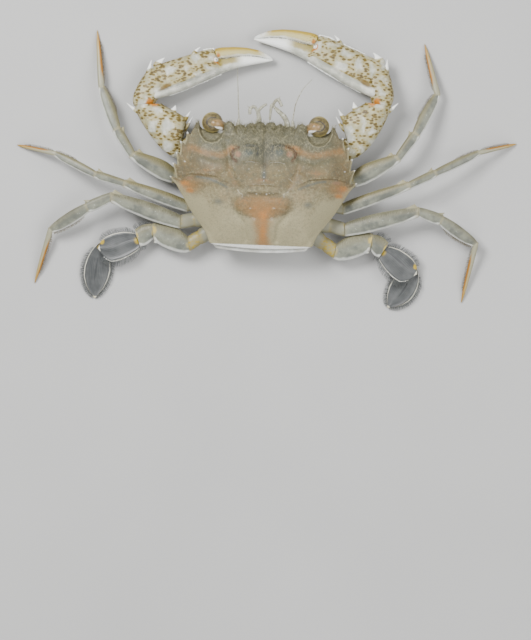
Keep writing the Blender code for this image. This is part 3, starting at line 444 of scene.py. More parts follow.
def leg_finish():
    """Legs: clear grey white, a straw upper edge with fine dashes, a white rim, cream joints."""
    f = Finish("leg_shell", 0.48, 0.08, 0.08)
    place = f.painted("place")
    across = f.painted("across")
    grain = f.noise(0.8, 4.0, 0.6)
    wander = (grain - 0.5) * 0.5
    straw = (across + wander * 0.7).rise(-0.1, 0.6) * f.painted("straw") * 0.8
    waves = (f.painted("along") * 15.0 + f.noise(1.1, 4.0) * 18.0).wave()
    dash = waves.rise(0.0, 0.8) * (across + wander).rise(0.25, 0.55) * across.rise(0.98, 0.8)
    dots = f.cells(2.2).rise(0.22, 0.1) * across.rise(0.7, 0.0) * across.rise(-0.7, 0.0)
    rim = across * -1.0 + wander * 0.3 + place.rise(0.8, 1.0) * 0.25
    ends = (place + wander * 0.1).rise(0.92, 1.0).most((place - wander * 0.1).rise(0.05, -0.02))
    colour = f.layers(
        paint(140, 143, 134), ((f.noise(0.3) + wander).rise(0.3, 0.7), paint(166, 168, 154)),
        (straw, paint(166, 158, 122)), (dash * f.painted("dashed") * 0.5, paint(112, 104, 76)),
        (dots * f.noise(0.6).rise(0.5, 0.6) * 0.5, WHITE),
        (rim.rise(0.66, 0.9) * 0.8, paint(222, 223, 218)), (across.rise(0.9, 0.99) * 0.5, CREAM),
        (ends * 0.6, CREAM), (f.worn("yellow", wander, 0.3, 1.05) * 0.85, paint(208, 190, 132)),
        (f.painted("below").rise(0.3, 0.7) * 0.7, PORCELAIN))
    lines = (across * 14.0 + grain * 3.0).wave()
    return f.dress(colour, grain * 0.8 + lines * 0.12 + dash * 0.3, 0.05, 0.42 + grain * 0.2)


def tip_finish():
    """The last articles of the walking legs: pale at the root, golden along one edge."""
    f = Finish("tip_horn", 0.4, 0.15, 0.05)
    grain = f.noise(1.0, 4.0, 0.6)
    wander = grain - 0.5
    long = f.painted("place") + wander * 0.25
    lines = (f.painted("across") * 16.0 + grain * 3.0).wave()
    colour = f.layers(
        paint(182, 180, 160), (long.rise(0.2, 0.9), paint(196, 182, 140)),
        (f.worn("gold", wander * 0.3, 0.1, 0.8), paint(198, 148, 74)),
        (long.rise(0.6, 1.0) * 0.7, paint(204, 162, 92)), (long.rise(0.9, 1.05) * 0.5, STRAW),
        (lines.rise(0.5, 1.0) * 0.2, SPOT_BROWN))
    return f.dress(colour, grain * 0.6 + lines * 0.2, 0.04, 0.38 + grain * 0.14)


def paddle_finish():
    """The paddles: clear slate film, a white rim line, a dark vein and yellow joint spots."""
    f = Finish("paddle_film", 0.4, 0.14, 0.05)
    grain = f.noise(0.7, 4.0, 0.6)
    wander = grain - 0.5
    rays = (f.painted("rays") * 46.0 + grain * 4.0).wave()
    colour = f.layers(
        paint(112, 115, 116), ((f.noise(0.22) + wander * 0.3).rise(0.3, 0.7),
                               paint(136, 138, 138)),
        (rays.rise(0.4, 1.0) * 0.16, GREY_WHITE),
        (f.painted("vein").rise(0.3, 0.9) * 0.6, paint(78, 82, 88)),
        (f.painted("rim").rise(0.35, 0.75), paint(216, 215, 204)),
        (f.worn("yellow", wander * 0.4, 0.25, 0.9) * 0.85, paint(210, 186, 112)))
    return f.dress(colour, grain * 0.5 + rays * 0.15, 0.04, 0.36 + grain * 0.15)


def belly_finish():
    """The underside: smooth porcelain with straw shadows in the seams."""
    f = Finish("belly_porcelain", 0.5, 0.08, 0.08)
    grain = f.noise(0.9, 4.0, 0.6)
    wander = grain - 0.5
    speck = f.cells(1.6, f.scaled(0.7, 1.3, 1.0)).rise(0.5, 0.25)
    colour = f.layers(
        PORCELAIN, (f.noise(0.2, 4.0).rise(0.35, 0.7), WHITE),
        (grain.rise(0.6, 0.9) * 0.3, GREY_WHITE),
        (f.worn("seam", wander * 0.4, 0.2, 0.9) * 0.65, STRAW),
        (f.painted("upper").rise(0.0, 1.0) * 0.9, paint(162, 160, 136)),
        (f.worn("yellow", wander, 0.3, 1.0) * (0.35 + speck * 0.6), paint(196, 174, 96)),
        (f.painted("slate").rise(0.2, 0.9) * 0.5, paint(158, 160, 172)))
    return f.dress(colour, grain + f.cells(2.5).rise(0.4, 0.0) * 0.3, 0.04, 0.44 + grain * 0.2)


def cornea_finish():
    """The eye's ring: tan and gold outside, the outer edge partly painted light, with a violet grey
    line along its inner edge.
    """
    f = Finish("cornea", 0.45, 0.12)
    grain = f.noise(1.4, 4.0, 0.6)
    colour = f.layers(
        paint(166, 154, 120), (grain.rise(0.35, 0.65), paint(138, 125, 94)),
        # Straw outer edge: partly the ring's own colour, partly painted light that lifts the ball's
        # shaded rim
        (f.painted("outer").rise(0.1, 0.9) * 0.75, STRAW),
        (f.worn("inner", (grain - 0.5) * 0.5, 0.2, 0.85), paint(98, 88, 90)))
    return f.dress(colour, f.cells(9.0), 0.03, 0.42 + grain * 0.16)


def stalk_finish():
    """The eyestalk: pinkish tan flesh that is white at its rear."""
    f = Finish("stalk_flesh", 0.5, 0.1, 0.1)
    grain = f.noise(1.3, 4.0, 0.6)
    colour = f.layers(
        paint(188, 163, 132), (grain.rise(0.35, 0.7), paint(166, 142, 106)),
        (f.worn("pale", (grain - 0.5) * 0.4, 0.3, 0.8), WHITE))
    return f.dress(colour, grain, 0.04, 0.3 + grain * 0.2)


def feeler_finish():
    """Feelers: clear white to straw, darker in the joints."""
    f = Finish("feeler_shell", 0.4, 0.2, 0.1)
    grain = f.noise(1.5, 4.0, 0.6)
    rings = (f.painted("place") * 60.0).wave()
    colour = f.layers(
        paint(172, 169, 150), (grain.rise(0.3, 0.7), paint(204, 203, 190)),
        (rings.rise(0.5, 1.0) * 0.25, OLIVE))
    return f.dress(colour, grain + rings * 0.3, 0.03, 0.34 + grain * 0.2)


def seta_finish(name, root, tip):
    """Setae: one colour at their roots, another towards the tips."""
    f = Finish(name, 0.55)
    grain = f.noise(0.6, 2.0)
    colour = f.layers(root, (f.painted("place").rise(0.0, 1.0), tip),
                      (grain.rise(0.4, 0.7) * 0.3, GREY_WHITE))
    return f.dress(colour, roughness=0.45 + grain * 0.15)


def teeth_finish():
    """Enamel of the fingers' teeth: white with grey brown clouds."""
    f = Finish("tooth_enamel", 0.35, 0.3)
    grain = f.noise(2.0)
    return f.dress(f.mix(grain.rise(0.4, 0.7), WHITE, paint(120, 110, 92)), grain, 0.03)


def floor_finish():
    f = Finish("floor_card", 0.9)
    return f.dress(f.mix(f.noise(0.02, 2.0), paint(198, 198, 197), paint(204, 204, 203)))


# The bench: pieces made and shaped with the modelling tools


def deselect():
    bpy.ops.object.select_all(action="DESELECT")


def work_on(piece):
    deselect()
    piece.select_set(True)
    bpy.context.view_layer.objects.active = piece


def start_piece(name, add, **settings):
    """Add a primitive with nothing else selected, and open it in edit mode."""
    deselect()
    add(**settings)
    piece = bpy.context.object
    piece.name = piece.data.name = name
    bpy.ops.object.transform_apply(location=True, rotation=True, scale=True)
    bpy.ops.object.mode_set(mode="EDIT")
    return piece


def start_outline(name, outline, turn, place, **settings):
    """Open a filled circle whose points, taken in the order of their turn, lie on an outline."""
    piece = start_piece(name, bpy.ops.mesh.primitive_circle_add, vertices=len(outline),
                        radius=1.0, fill_type="NGON", **settings)
    bm = bmesh.from_edit_mesh(piece.data)
    for vert, point in zip(sorted(bm.verts, key=lambda vert: turn(vert.co)), outline):
        vert.co = place(*point)
    bmesh.update_edit_mesh(piece.data)
    bpy.ops.mesh.select_all(action="SELECT")
    return piece


def turn_outwards():
    """Turn every face of the opened piece outwards."""
    bpy.ops.mesh.select_all(action="SELECT")
    bpy.ops.mesh.normals_make_consistent(inside=False)


def close_piece(piece, levels):
    """Leave edit mode, smooth the piece and give its points."""
    bpy.ops.object.mode_set(mode="OBJECT")
    if levels:
        finish_modifier(piece, "SUBSURF", levels=levels, render_levels=levels)
    return points_of(piece)


def mesh_piece(name, points, faces):
    """A piece of many like small forms, laid out as one mesh."""
    mesh = bpy.data.meshes.new(name)
    mesh.from_pydata(points, [], faces)
    piece = bpy.data.objects.new(name, mesh)
    bpy.context.scene.collection.objects.link(piece)
    return piece


def pick_nearest(piece, near, facing):
    """Select the one face nearest to a place that looks the given way, and return its centre."""
    bm = bmesh.from_edit_mesh(piece.data)
    bm.normal_update()
    near, facing = Vector(near), Vector(facing)
    able = [face for face in bm.faces if face.normal.dot(facing) > 0.3 and len(face.verts) == 4]
    best = min(able, key=lambda face: (face.calc_center_median() - near).length)
    for face in bm.faces:
        face.select_set(False)
    bm.select_flush(False)
    best.select_set(True)
    bmesh.update_edit_mesh(piece.data)
    return best.calc_center_median()


def draw_out(move, size, centre):
    """Extrude what is selected and scale it about the new centre, which is returned."""
    bpy.ops.mesh.extrude_region_move(TRANSFORM_OT_translate={"value": tuple(move)})
    centre = Vector(centre) + Vector(move)
    bpy.ops.transform.resize(value=size, center_override=tuple(centre))
    return centre


def spur(piece, near, way, length):
    """Draw one face of the opened piece out into a spine along a direction."""
    way = Vector(way).normalized()
    centre = pick_nearest(piece, near, way)
    for share, size in ((0.12, 1.0), (0.3, 0.68), (0.33, 0.55), (0.3, 0.3), (0.12, 0.2)):
        centre = draw_out(way * (length * share), (size, size, size), centre)


def finish_modifier(piece, kind, **settings):
    """Give a piece a modifier and apply it."""
    work_on(piece)
    modifier = piece.modifiers.new(kind.lower(), kind)
    for key, value in settings.items():
        setattr(modifier, key, value)
    bpy.ops.object.modifier_apply(modifier=modifier.name)


def points_of(piece):
    flat = np.empty(len(piece.data.vertices) * 3)
    piece.data.vertices.foreach_get("co", flat)
    return flat.reshape(-1, 3)


def put_points(piece, points):
    piece.data.vertices.foreach_set("co", np.ascontiguousarray(points).ravel())
    piece.data.update()


def mark(piece, **fields):
    """Paint numbers on a piece, one for each of its points."""
    count = len(piece.data.vertices)
    for name, values in fields.items():
        layer = piece.data.attributes.get(name) or piece.data.attributes.new(name, "FLOAT", "POINT")
        layer.data.foreach_set("value", np.broadcast_to(values, (count,)).astype(np.float32))


def read_mark(piece, name):
    values = np.empty(len(piece.data.vertices), np.float32)
    piece.data.attributes[name].data.foreach_get("value", values)
    return values


def settle(piece, start, along, front, up):
    """Turn a piece from its own millimetres to its place on the crab, in metres."""
    turn = Matrix((along, front, up)).transposed().to_4x4()
    piece.data.transform(Matrix.Scale(MM, 4) @ Matrix.Translation(start) @ turn)
    if turn.determinant() < 0:
        piece.data.flip_normals()
    points = points_of(piece)
    points[:, 2] = np.maximum(points[:, 2], 0.0)
    put_points(piece, points)


def stand(piece, side, x, y, z):
    """Settle a piece that stands square to the body, mirrored for the left side."""
    settle(piece, on_body(x * side, y, z), (side, 0, 0), (0, 1, 0), (0, 0, 1))


def to_metres(piece):
    """A piece whose points are on the body in millimetres takes its place."""
    stand(piece, 1, 0, 0, 0)


def hand_over(piece, finish, slot, *nodes):
    """Dress a finished piece and fix it to the body, in the place of its solids."""
    piece.data.materials.clear()
    piece.data.materials.append(FINISHES[finish])
    work_on(piece)
    bpy.ops.object.shade_smooth()
    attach(piece, "root")
    if nodes:
        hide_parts(*nodes)


def join(pieces, name):
    """Join finished pieces into one."""
    work_on(pieces[0])
    for piece in pieces[1:]:
        piece.select_set(True)
    bpy.ops.object.join()
    pieces[0].name = pieces[0].data.name = name
    return pieces[0]


# Limb sections: a turn round the limb gives a place across, front positive, and up


def oval(power):
    def place(turn):
        side, rise = math.cos(turn), math.sin(turn)
        return (math.copysign(abs(side) ** power, side), math.copysign(abs(rise) ** power, rise))
    return place


def grooved(power, depth):
    """An oval with a shallow groove along its upper and lower faces."""
    smooth = oval(power)

    def place(turn):
        side, rise = smooth(turn)
        return side, rise * (1 - depth * bell(side, 0.35))
    return place


def film(turn):
    """A thin plate with a bead along its rim and a vein down its middle."""
    side, rise = oval(0.8)(turn)
    body = 0.5 + 0.5 * bell(abs(side) - 0.9, 0.12) + 0.25 * bell(side, 0.12)
    return side, math.copysign(min(1.0, (1 - side * side) * 3 + 0.1) * body, rise)


def grow(name, rings, section, sides):
    """Grow a closed piece along X, ring by ring, from a filled circle, and leave it opened."""
    piece = start_piece(
        name, bpy.ops.mesh.primitive_circle_add, vertices=sides, radius=1.0, fill_type="NGON",
        rotation=(0, math.pi / 2, 0))
    bm = bmesh.from_edit_mesh(piece.data)
    for vert in bm.verts:
        vert.co = (0.0, *section(math.atan2(vert.co.z, vert.co.y)))
    bmesh.update_edit_mesh(piece.data)
    bpy.ops.mesh.select_all(action="SELECT")
    here = None
    for x, front, rear, thick, rise in rings:
        there = Vector((x, (front - rear) / 2, rise))
        half = max((front + rear) / 2, 0.04)
        if here is None:
            bpy.ops.transform.resize(value=(1, half, thick), center_override=(0, 0, 0))
            bpy.ops.transform.translate(value=tuple(there))
        else:
            draw_out(there - here, (1, half / last_half, thick / last_thick), here)
        here, last_half, last_thick = there, half, thick
    turn_outwards()
    return piece


def grown(name, rings, section, sides, levels):
    """A piece that is grown and smoothed, and its points."""
    piece = grow(name, rings, section, sides)
    return piece, close_piece(piece, levels)


def crease_margins(piece, amount):
    """Sharpen the two lines along the front and the rear of an opened article."""
    bm = bmesh.from_edit_mesh(piece.data)
    layer = bm.edges.layers.float.get("crease_edge") or bm.edges.layers.float.new("crease_edge")
    for edge in bm.edges:
        a, b = edge.verts
        if abs(a.co.z) < 1e-3 and abs(b.co.z) < 1e-3 and abs(a.co.x - b.co.x) > 1e-3:
            edge[layer] = amount
    bmesh.update_edit_mesh(piece.data)


def joint_tangents(points):
    """For each length of a limb, its way and how far its two ends lean for a step to the front."""
    ways = [(b - a).normalized() for a, b in zip(points, points[1:])]
    leans = []
    for i, way in enumerate(ways):
        front = Vector((-way.y, way.x, 0)).normalized()
        cuts = [(way + other).normalized()
                for other in (ways[max(i - 1, 0)], ways[min(i + 1, len(ways) - 1)])]
        leans.append([-front.dot(cut) / way.dot(cut) for cut in cuts])
    return ways, leans


def limb_points(limb, side_name):
    """Joint places of a limb from its root outwards."""
    side = SIDES[side_name]
    (x, y, z), *lengths = LIMB_POSES[(limb, side_name)]
    points = [on_body(x * side, y, z)]
    for reach, heading, height in lengths:
        x += reach * math.cos(math.radians(heading))
        y += reach * math.sin(math.radians(heading))
        points.append(on_body(x * side, y, height))
    return points


def coxa_root(limb, side_name):
    """Where a limb's base article starts under the shell."""
    x, y, z, _ = COXAE[limb]
    return on_body(x * SIDES[side_name], y, z)


def claw_coxa_end(side_name):
    root = coxa_root("claw", side_name)
    way = (limb_points("claw", side_name)[0] - root).normalized()
    return root + way * (CLAW_COXA_END - COXAE["claw"][0])


def leg_run(limb, side_name):
    """For each article of a leg: its name, its start, its end, its way and its leans."""
    points = limb_points(limb, side_name)
    ways, leans = joint_tangents([coxa_root(limb, side_name)] + points)
    return zip(ARTICLES, points, points[1:], ways[1:], leans[1:])


def limb_frame(way, side):
    """Front and up directions of an article that runs along a direction."""
    front = Vector((-way.y, way.x, 0)).normalized() * side
    up = way.cross(front).normalized()
    return front, (-up if up.z < 0 else up)


# Joints: the neck in front of an article's root, the gap at its ends, how much fuller it is
# than its rows, and the socket: places back from the end, shares of the width and thickness
NECK = 0.55
JOINT_CLEARANCE = 0.06
FULL = 1.02
COLLAR = 0.35
SOCKET = ((COLLAR, 1.0, 1.0), (0.08, 1.06, 1.08), (0.0, 1.0, 1.0), (0.1, 0.92, 0.9),
          (0.6, 0.88, 0.86))


def jointed_rings(rows, length, open_end=True, neck=0.88):
    """Rings of an article in millimetres: a neck at its root and a socket at its far end."""
    def ring(x, row, wide, thick):
        return (x, row[1] * wide, row[2] * wide, row[3] * thick, 0.0)

    rings = [ring(x, rows[0], size, size) for x, size in (
        (-NECK, neck), (-0.05, neck), (JOINT_CLEARANCE, 0.96), (JOINT_CLEARANCE + 0.3, FULL))]
    for row in rows:
        x = row[0] * length
        if rings[-1][0] + 0.3 < x < length - COLLAR - 0.4:
            rings.append(ring(x, row, FULL, FULL))
    if open_end:
        end = length - JOINT_CLEARANCE
        rings += [ring(end - back, rows[-1], wide, thick) for back, wide, thick in SOCKET]
    return rings


def finish_article(piece, rings, length, leans, start, way, side, levels=2):
    """Smooth an article, paint how far along and across each point is, lean and place it."""
    points = close_piece(piece, levels)
    table = sorted((x, (front - rear) / 2, (front + rear) / 2, thick)
                   for x, front, rear, thick, _ in rings if 0 <= x <= length)
    middle, half, thick = between(table, points[:, 0])
    place, across, up = points[:, 0] / length, (points[:, 1] - middle) / half, points[:, 2] / thick
    mark(piece, place=place, across=across)
    leaned = points.copy()
    first, last = leans[0] * side, leans[1] * side
    leaned[:, 0] += points[:, 1] * (first + (last - first) * np.clip(place, 0, 1))
    put_points(piece, leaned)
    settle(piece, start, way, *limb_frame(way, side))
    return points, place, across, up


# Fringes: for an article, its front (1) or rear (-1) edge, where they begin and end along it
# and the longest hair
FRINGES = {
    ("leg_1", "propodus"): ((1, 0.3, 0.98, 0.7),),
    ("leg_1", "dactyl"): ((1, 0.04, 0.8, 0.75),),
    ("leg_2", "propodus"): ((1, 0.45, 0.98, 0.6),),
    ("leg_2", "dactyl"): ((1, 0.04, 0.8, 0.7),),
    ("leg_3", "propodus"): ((-1, 0.15, 0.98, 0.9),),
    ("leg_3", "dactyl"): ((-1, 0.04, 0.8, 0.8),),
    ("swimming_leg", "carpus"): ((1, 0.15, 0.98, 1.4), (-1, 0.6, 0.98, 1.2)),
    ("swimming_leg", "propodus"): ((1, 0.02, 1, 1.5), (-1, 0, 1, 1.7)),
    ("swimming_leg", "dactyl"): ((1, 0.06, 0.99, 1.3), (-1, 0.2, 0.99, 1.3)),
}
# Hairs: radius, how much they spread, curl and differ in length
HAIRS = {"paddle_fringe": (0.03, 0.05, 0.02, 0.1), "leg_fringe": (0.03, 0.16, 0.06, 0.36),
         "front_fuzz": (0.02, 0.35, 0.35, 0.36)}
HAIR_PROFILE = ((0.0, 1.0), (0.35, 0.95), (0.75, 0.7), (1.0, 0.0))
HAIR_FACES = ((0, 1, 4, 3), (1, 2, 5, 4), (2, 0, 3, 5), (3, 4, 7, 6), (4, 5, 8, 7), (5, 3, 6, 8),
              (6, 7, 9), (7, 8, 9), (8, 6, 9), (2, 1, 0))
HAIRS_IN_TUFT = 3
TUFT_SPACING = 0.16
TUFT_PATCH = 0.003
FRINGE_STRIPS = 12
FRONT_TUFTS = 1500
fringe_roots = {}


def fringe(limb, part, side_name, rows, length, leans, start, way):
    """Note where the tufts along an article's edges grow, and which way."""
    side = SIDES[side_name]
    front, up = [np.array(v) for v in limb_frame(way, side)]
    kind = "paddle_fringe" if limb == "swimming_leg" else "leg_fringe"
    held = fringe_roots.setdefault(f"{kind}_{side_name}", [])
    for edge, first, last, reach in FRINGES.get((limb, part), ()):
        places = np.linspace(first, last, 80)
        across = edge * between(rows, places)[0 if edge > 0 else 1]
        leaned = side * (leans[0] + (leans[1] - leans[0]) * np.clip(places, 0, 1))
        line = np.array(start - on_body(0, 0, 0)) + np.outer(across, front)
        line += np.outer(places * length + across * leaned, way)
        ways = np.cross(np.gradient(line, axis=0), up)
        ways = unit(ways * np.sign((ways @ front).sum() * edge))
        steps = run_along(line)
        count = int(steps[-1] / TUFT_SPACING)
        share = (np.arange(count) + 0.2 + 0.6 * RANDOM.random(count)) / count
        roots, out = [read_line(share * steps[-1], steps, rows_of) for rows_of in (line, ways)]
        sizes = reach * (0.5 + 0.5 * smooth_step(share, 0.0, 0.2) * smooth_step(share, 1.06, 0.8))
        strip = np.full(count, (len(held) + 0.5) / FRINGE_STRIPS)
        held.append((roots - out * 0.08, out + np.array(way) * 0.35, sizes,
                     np.stack((0.02 + 0.96 * share, strip), 1)))


def tuft_piece(name, groups, radius, spread, curl, uneven):
    """Tufts of tapered three sided hairs, with each tuft's patch at its root's place."""
    roots, ways, sizes, patches = [
        np.repeat(np.concatenate(column), HAIRS_IN_TUFT, axis=0) for column in zip(*groups)]
    count = len(roots)
    ways = unit(unit(ways) + RANDOM.normal(0, spread, (count, 3)))
    roots = roots + RANDOM.normal(0, 0.03, (count, 3))
    sizes = sizes * (1.08 - uneven * RANDOM.random(count))
    bends = RANDOM.normal(0, curl, (count, 3))
    first = unit(np.cross(ways, (0.03, 0.02, 1.0)))
    second = np.cross(ways, first)
    points, shares, spots = [], [], []
    for share, size in HAIR_PROFILE:
        reach = (sizes * share)[:, None]
        middle = roots + ways * reach + bends * reach * share
        for turn in range(3 if size else 1):
            angle = turn * math.tau / 3
            ring = first * math.cos(angle) + second * math.sin(angle)
            points.append(middle + ring * radius * size)
            shares.append(np.full(count, share))
            spots.append(patches + TUFT_PATCH * np.array((share - 0.5, turn / 3 - 0.33)))
    points = np.stack(points, 1).reshape(-1, 3)
    points[:, 2] = np.maximum(points[:, 2], 0.03)
    faces = [[10 * i + corner for corner in face] for i in range(count) for face in HAIR_FACES]
    piece = mesh_piece(name, points.tolist(), faces)
    mark(piece, place=np.stack(shares, 1).reshape(-1))
    corners = np.empty(len(piece.data.loops), np.int64)
    piece.data.loops.foreach_get("vertex_index", corners)
    spots = np.stack(spots, 1).reshape(-1, 2)[corners].astype(np.float32)
    piece.data.uv_layers.new(name="OFBake").data.foreach_set("uv", spots.ravel())
    to_metres(piece)
    return piece


def fringes():
    """Every fringe of the legs and the paddles, one piece for each kind and side."""
    for name, groups in fringe_roots.items():
        kind = name.rpartition("_")[0]
        hand_over(tuft_piece(name, groups, *HAIRS[kind]), kind, kind.partition("_")[0])


def front_fuzz(points, normals, unwrap):
    """Curly tufts along the front of the shell and short down behind it."""
    x, y, _ = points.T
    side = np.abs(x)
    clear = from_orbit(x, y, 3.1, 4.0) > 1
    chance = smooth_step(y, 8.5, 13.2) * smooth_step(side, 18.5, 16.5) * clear
    chance = (0.1 + chance ** 2) * (y > 6.5) * (side < 18.5) * (normals[:, 2] > -0.1) * clear
    picked = RANDOM.choice(len(points), FRONT_TUFTS, replace=False, p=chance / chance.sum())
    edge = smooth_step(y[picked], 10.5, 13.6)
    ways = normals[picked] * (0.5 + 0.1 * edge)[:, None] + np.array((0, 0.9, 0.1))
    group = (points[picked] - normals[picked] * 0.05, ways, 0.35 + 0.55 * edge, unwrap[picked])
    piece = tuft_piece("front_fuzz", [group], *HAIRS["front_fuzz"])
    hand_over(piece, "front_fuzz", "shell")


# Legs
HORN_TIP = ((0.9, 0.0, 0.3, 0.28), (0.97, 0.0, 0.16, 0.16), (1.0, 0.1, 0.06, 0.06))


def walking_leg(limb, side_name):
    rear = limb == "leg_3"
    for part, start, end, way, ends in leg_run(limb, side_name):
        length = (end - start).length
        halves, flat = WALKING_SHAPES[limb][part]
        rows = [(i / (len(halves) - 1), half, half, half * flat) for i, half in enumerate(halves)]
        name = f"{limb}_{part}_{side_name}"
        arm, horn = part == "merus", part == "dactyl"
        rings = jointed_rings(rows, length, open_end=not horn)
        if horn:
            rings += [(length * share + past, half, half, thick, 0.0)
                      for share, past, half, thick in HORN_TIP]
            rings.sort()
        depth = 0.0 if arm else 0.16 if horn else 0.14
        piece = grow("shaped_" + name, rings, grooved(1.0, depth), 12)
        if not horn:
            crease_margins(piece, 0.5)
        if part in ("merus", "carpus"):
            spur(piece, (length - 1.5, rows[-1][1] * 1.05, 0), (0.9, 0.8, 0), 1.0)
        points, place, across, up = finish_article(
            piece, rings, length, ends, start, way, SIDES[side_name])
        mark(piece, straw=(1.0 if arm else 0.75) * (0.45 if rear else 1.0),
             dashed=1.0 if arm else 0.35, along=points[:, 0], below=smooth_step(up, -0.2, -0.7),
             gold=smooth_step(-across if rear else across, -0.3, 0.7)
             * smooth_step(place, 0.0, 0.4))
        fringe(limb, part, side_name, rows, length, ends, start, way)
        hand_over(piece, "tip" if horn else "leg", "leg_tip" if horn else "leg", name)


def swimming_leg(side_name):
    limb = "swimming_leg"
    for part, start, end, way, ends in leg_run(limb, side_name):
        if part == "dactyl":
            start = Vector((start.x, start.y, PADDLE_ROOT_HEIGHT))
            way = (end - start).normalized()
        length = (end - start).length
        shape, thick = SWIMMING_SHAPES[part]
        rows = [(place, front, rear, thick) for place, front, rear in shape]
        name = f"{limb}_{part}_{side_name}"
        solid = part in ("merus", "carpus")
        if solid:
            rings = jointed_rings(rows, length)
            piece = grow("shaped_" + name, rings, grooved(1.0, 0.1), 16)
            crease_margins(piece, 0.6)
            if part == "merus":
                spur(piece, (length - 0.9, -2.2, 0), (0.9, -0.5, 0), 0.7)
        else:
            rings = paddle_rings(rows, length)
            ends = (ends[0] if part == "propodus" else 0.0, 0.0)
            piece = grow("shaped_" + name, rings, film, 32)
        fields = finish_article(piece, rings, length, ends, start, way, SIDES[side_name])
        paint_swimmer(piece, part, *fields)
        fringe(limb, part, side_name, rows, length, ends, start, way)
        if part == "propodus":
            rim_teeth(side_name, rows, length, ends, start, way)
        kind = "leg" if solid else "paddle"
        hand_over(piece, kind, kind, name)


def rim_teeth(side_name, rows, length, ends, start, way):
    """Small white teeth along the rear edge of the paddle's first plate."""
    side = SIDES[side_name]
    beads = []
    for place in np.linspace(0.36, 0.98, RIM_TEETH):
        y = -between(rows, place)[1] * 0.955
        bent = side * (ends[0] + (ends[1] - ends[0]) * place)
        beads.append((place * length + y * bent, y, 0.08, 0.17))
    piece = bead_piece(f"rim_teeth_{side_name}", beads)
    settle(piece, start, way, *limb_frame(way, side))
    hand_over(piece, "teeth", "paddle")


def paddle_rings(rows, length):
    """Rings of a flat article, drawn together at its far end so that the rim runs round it."""
    rings = [(place * length, *between(rows, place), 0.0)
             for place in np.linspace(rows[0][0], rows[-1][0], 20)]
    x, front, rear, thick, _ = rings[-1]
    middle, half = (front - rear) / 2, (front + rear) / 2 * 0.4
    return rings + [(x + 0.25, middle + half, half - middle, thick * 0.7, 0.0)]


def paint_swimmer(piece, part, points, place, across, up):
    """Yellow joint spots, and on the paddles the rim, the vein and fine rays."""
    if part in ("merus", "carpus"):
        yellow = np.maximum(spot(place, across, (0.02, -0.2, 0.1, 0.6, 0.7)),
                            spot(place, across, (0.97, 0.3, 0.1, 0.5, 1.2)))
        mark(piece, yellow=yellow, straw=0.6, dashed=0.9, along=points[:, 0],
             below=smooth_step(up, -0.2, -0.7))
        return
    rim = smooth_step(np.abs(across), 0.905, 0.95)
    if part == "propodus":
        yellow = np.maximum(spot(place, across, (0.98, 0.75, 0.07, 0.25, 1.3)),
                            spot(place, across, (0.02, 0.0, 0.1, 0.5, 0.9)))
        rim = np.maximum(rim, smooth_step(place, 1.04, 1.08))
        vein = bell(across - 0.35 + 0.2 * place, 0.06) * smooth_step(place, 0.9, 0.6)
    else:
        yellow = np.maximum(spot(place, across, (0.03, 0.2, 0.06, 0.5, 1.0)),
                            0.5 * smooth_step(place, 0.94, 1.0))
        rim = np.maximum(rim, smooth_step(place, 0.965, 0.985))
        vein = bell(across - 0.1, 0.07) * smooth_step(place, 0.15, 0.3)
        vein *= smooth_step(place, 0.85, 0.6)
    mark(piece, yellow=yellow, rim=rim, vein=vein, rays=across + 0.35 * place)


# Claws
THORN_BURIED = 0.26
THORN_PROFILE = ((0.0, 0.6), (0.16, 1.0), (0.34, 0.98), (0.5, 0.8), (0.64, 0.56), (0.78, 0.34),
                 (0.9, 0.17), (1.0, 0.03))
# The articles before the palm: piece, node, rows, spines and the amber spot at the hinge
CLAW_ARTICLES = (
    ("shaped_ischium", "claw_ischium", CLAW_ISCHIUM, (), (0.0, 0.4, 1.0, 1.0, 0.0)),
    ("shaped_claw_merus", "claw_merus", CLAW_MERUS, MERUS_SPINES, (1.0, 0.4, 0.09, 0.35, 1.0)),
    ("shaped_claw_carpus", "claw_carpus", CLAW_CARPUS, CARPUS_SPINES, (0.0, 0.4, 0.2, 0.35, 1.0)))
HEEL_SHIFT = (-4.6, -0.3, 1.6)
PALM_STATIONS = (
    0.012, 0.03, 0.06, 0.1, 0.15, 0.2, 0.25, 0.3, 0.35, 0.4, 0.44, 0.475, 0.495, 0.505, 0.52,
    0.535, 0.57, 0.62, 0.67, 0.72, 0.77, 0.82, 0.87, 0.91, 0.95, 0.98, 1.0)
# Granules along the palm: first and last place, how many, the edge and the radius
LOWER_GRANULES = (0.05, 0.52, 34, -1, 0.26)
GRANULES = {"left": (LOWER_GRANULES, (0.42, 0.5, 7, 1, 0.3)),
            "right": (LOWER_GRANULES, (0.1, 0.5, 26, 1, 0.36))}
FINGER_TEETH = 22


def set_on_claw(piece, side_name):
    """Settle a piece on the claw's base point, along it and towards the other claw."""
    side = SIDES[side_name]
    turn = math.radians(CLAW_HEADING[side_name])
    along = Vector((math.cos(turn) * side, math.sin(turn), 0.0))
    inner = Vector((-along.y, along.x, 0.0)) * -side
    settle(piece, limb_points("claw", side_name)[-1], along,
           inner if inner.y > 0 else -inner, (0, 0, 1))


def claw_rise(place):
    """How much higher than at its root the claw's middle is."""
    return np.interp(place, (0.0, 1.0), CLAW_HEIGHT) - CLAW_HEIGHT[0]


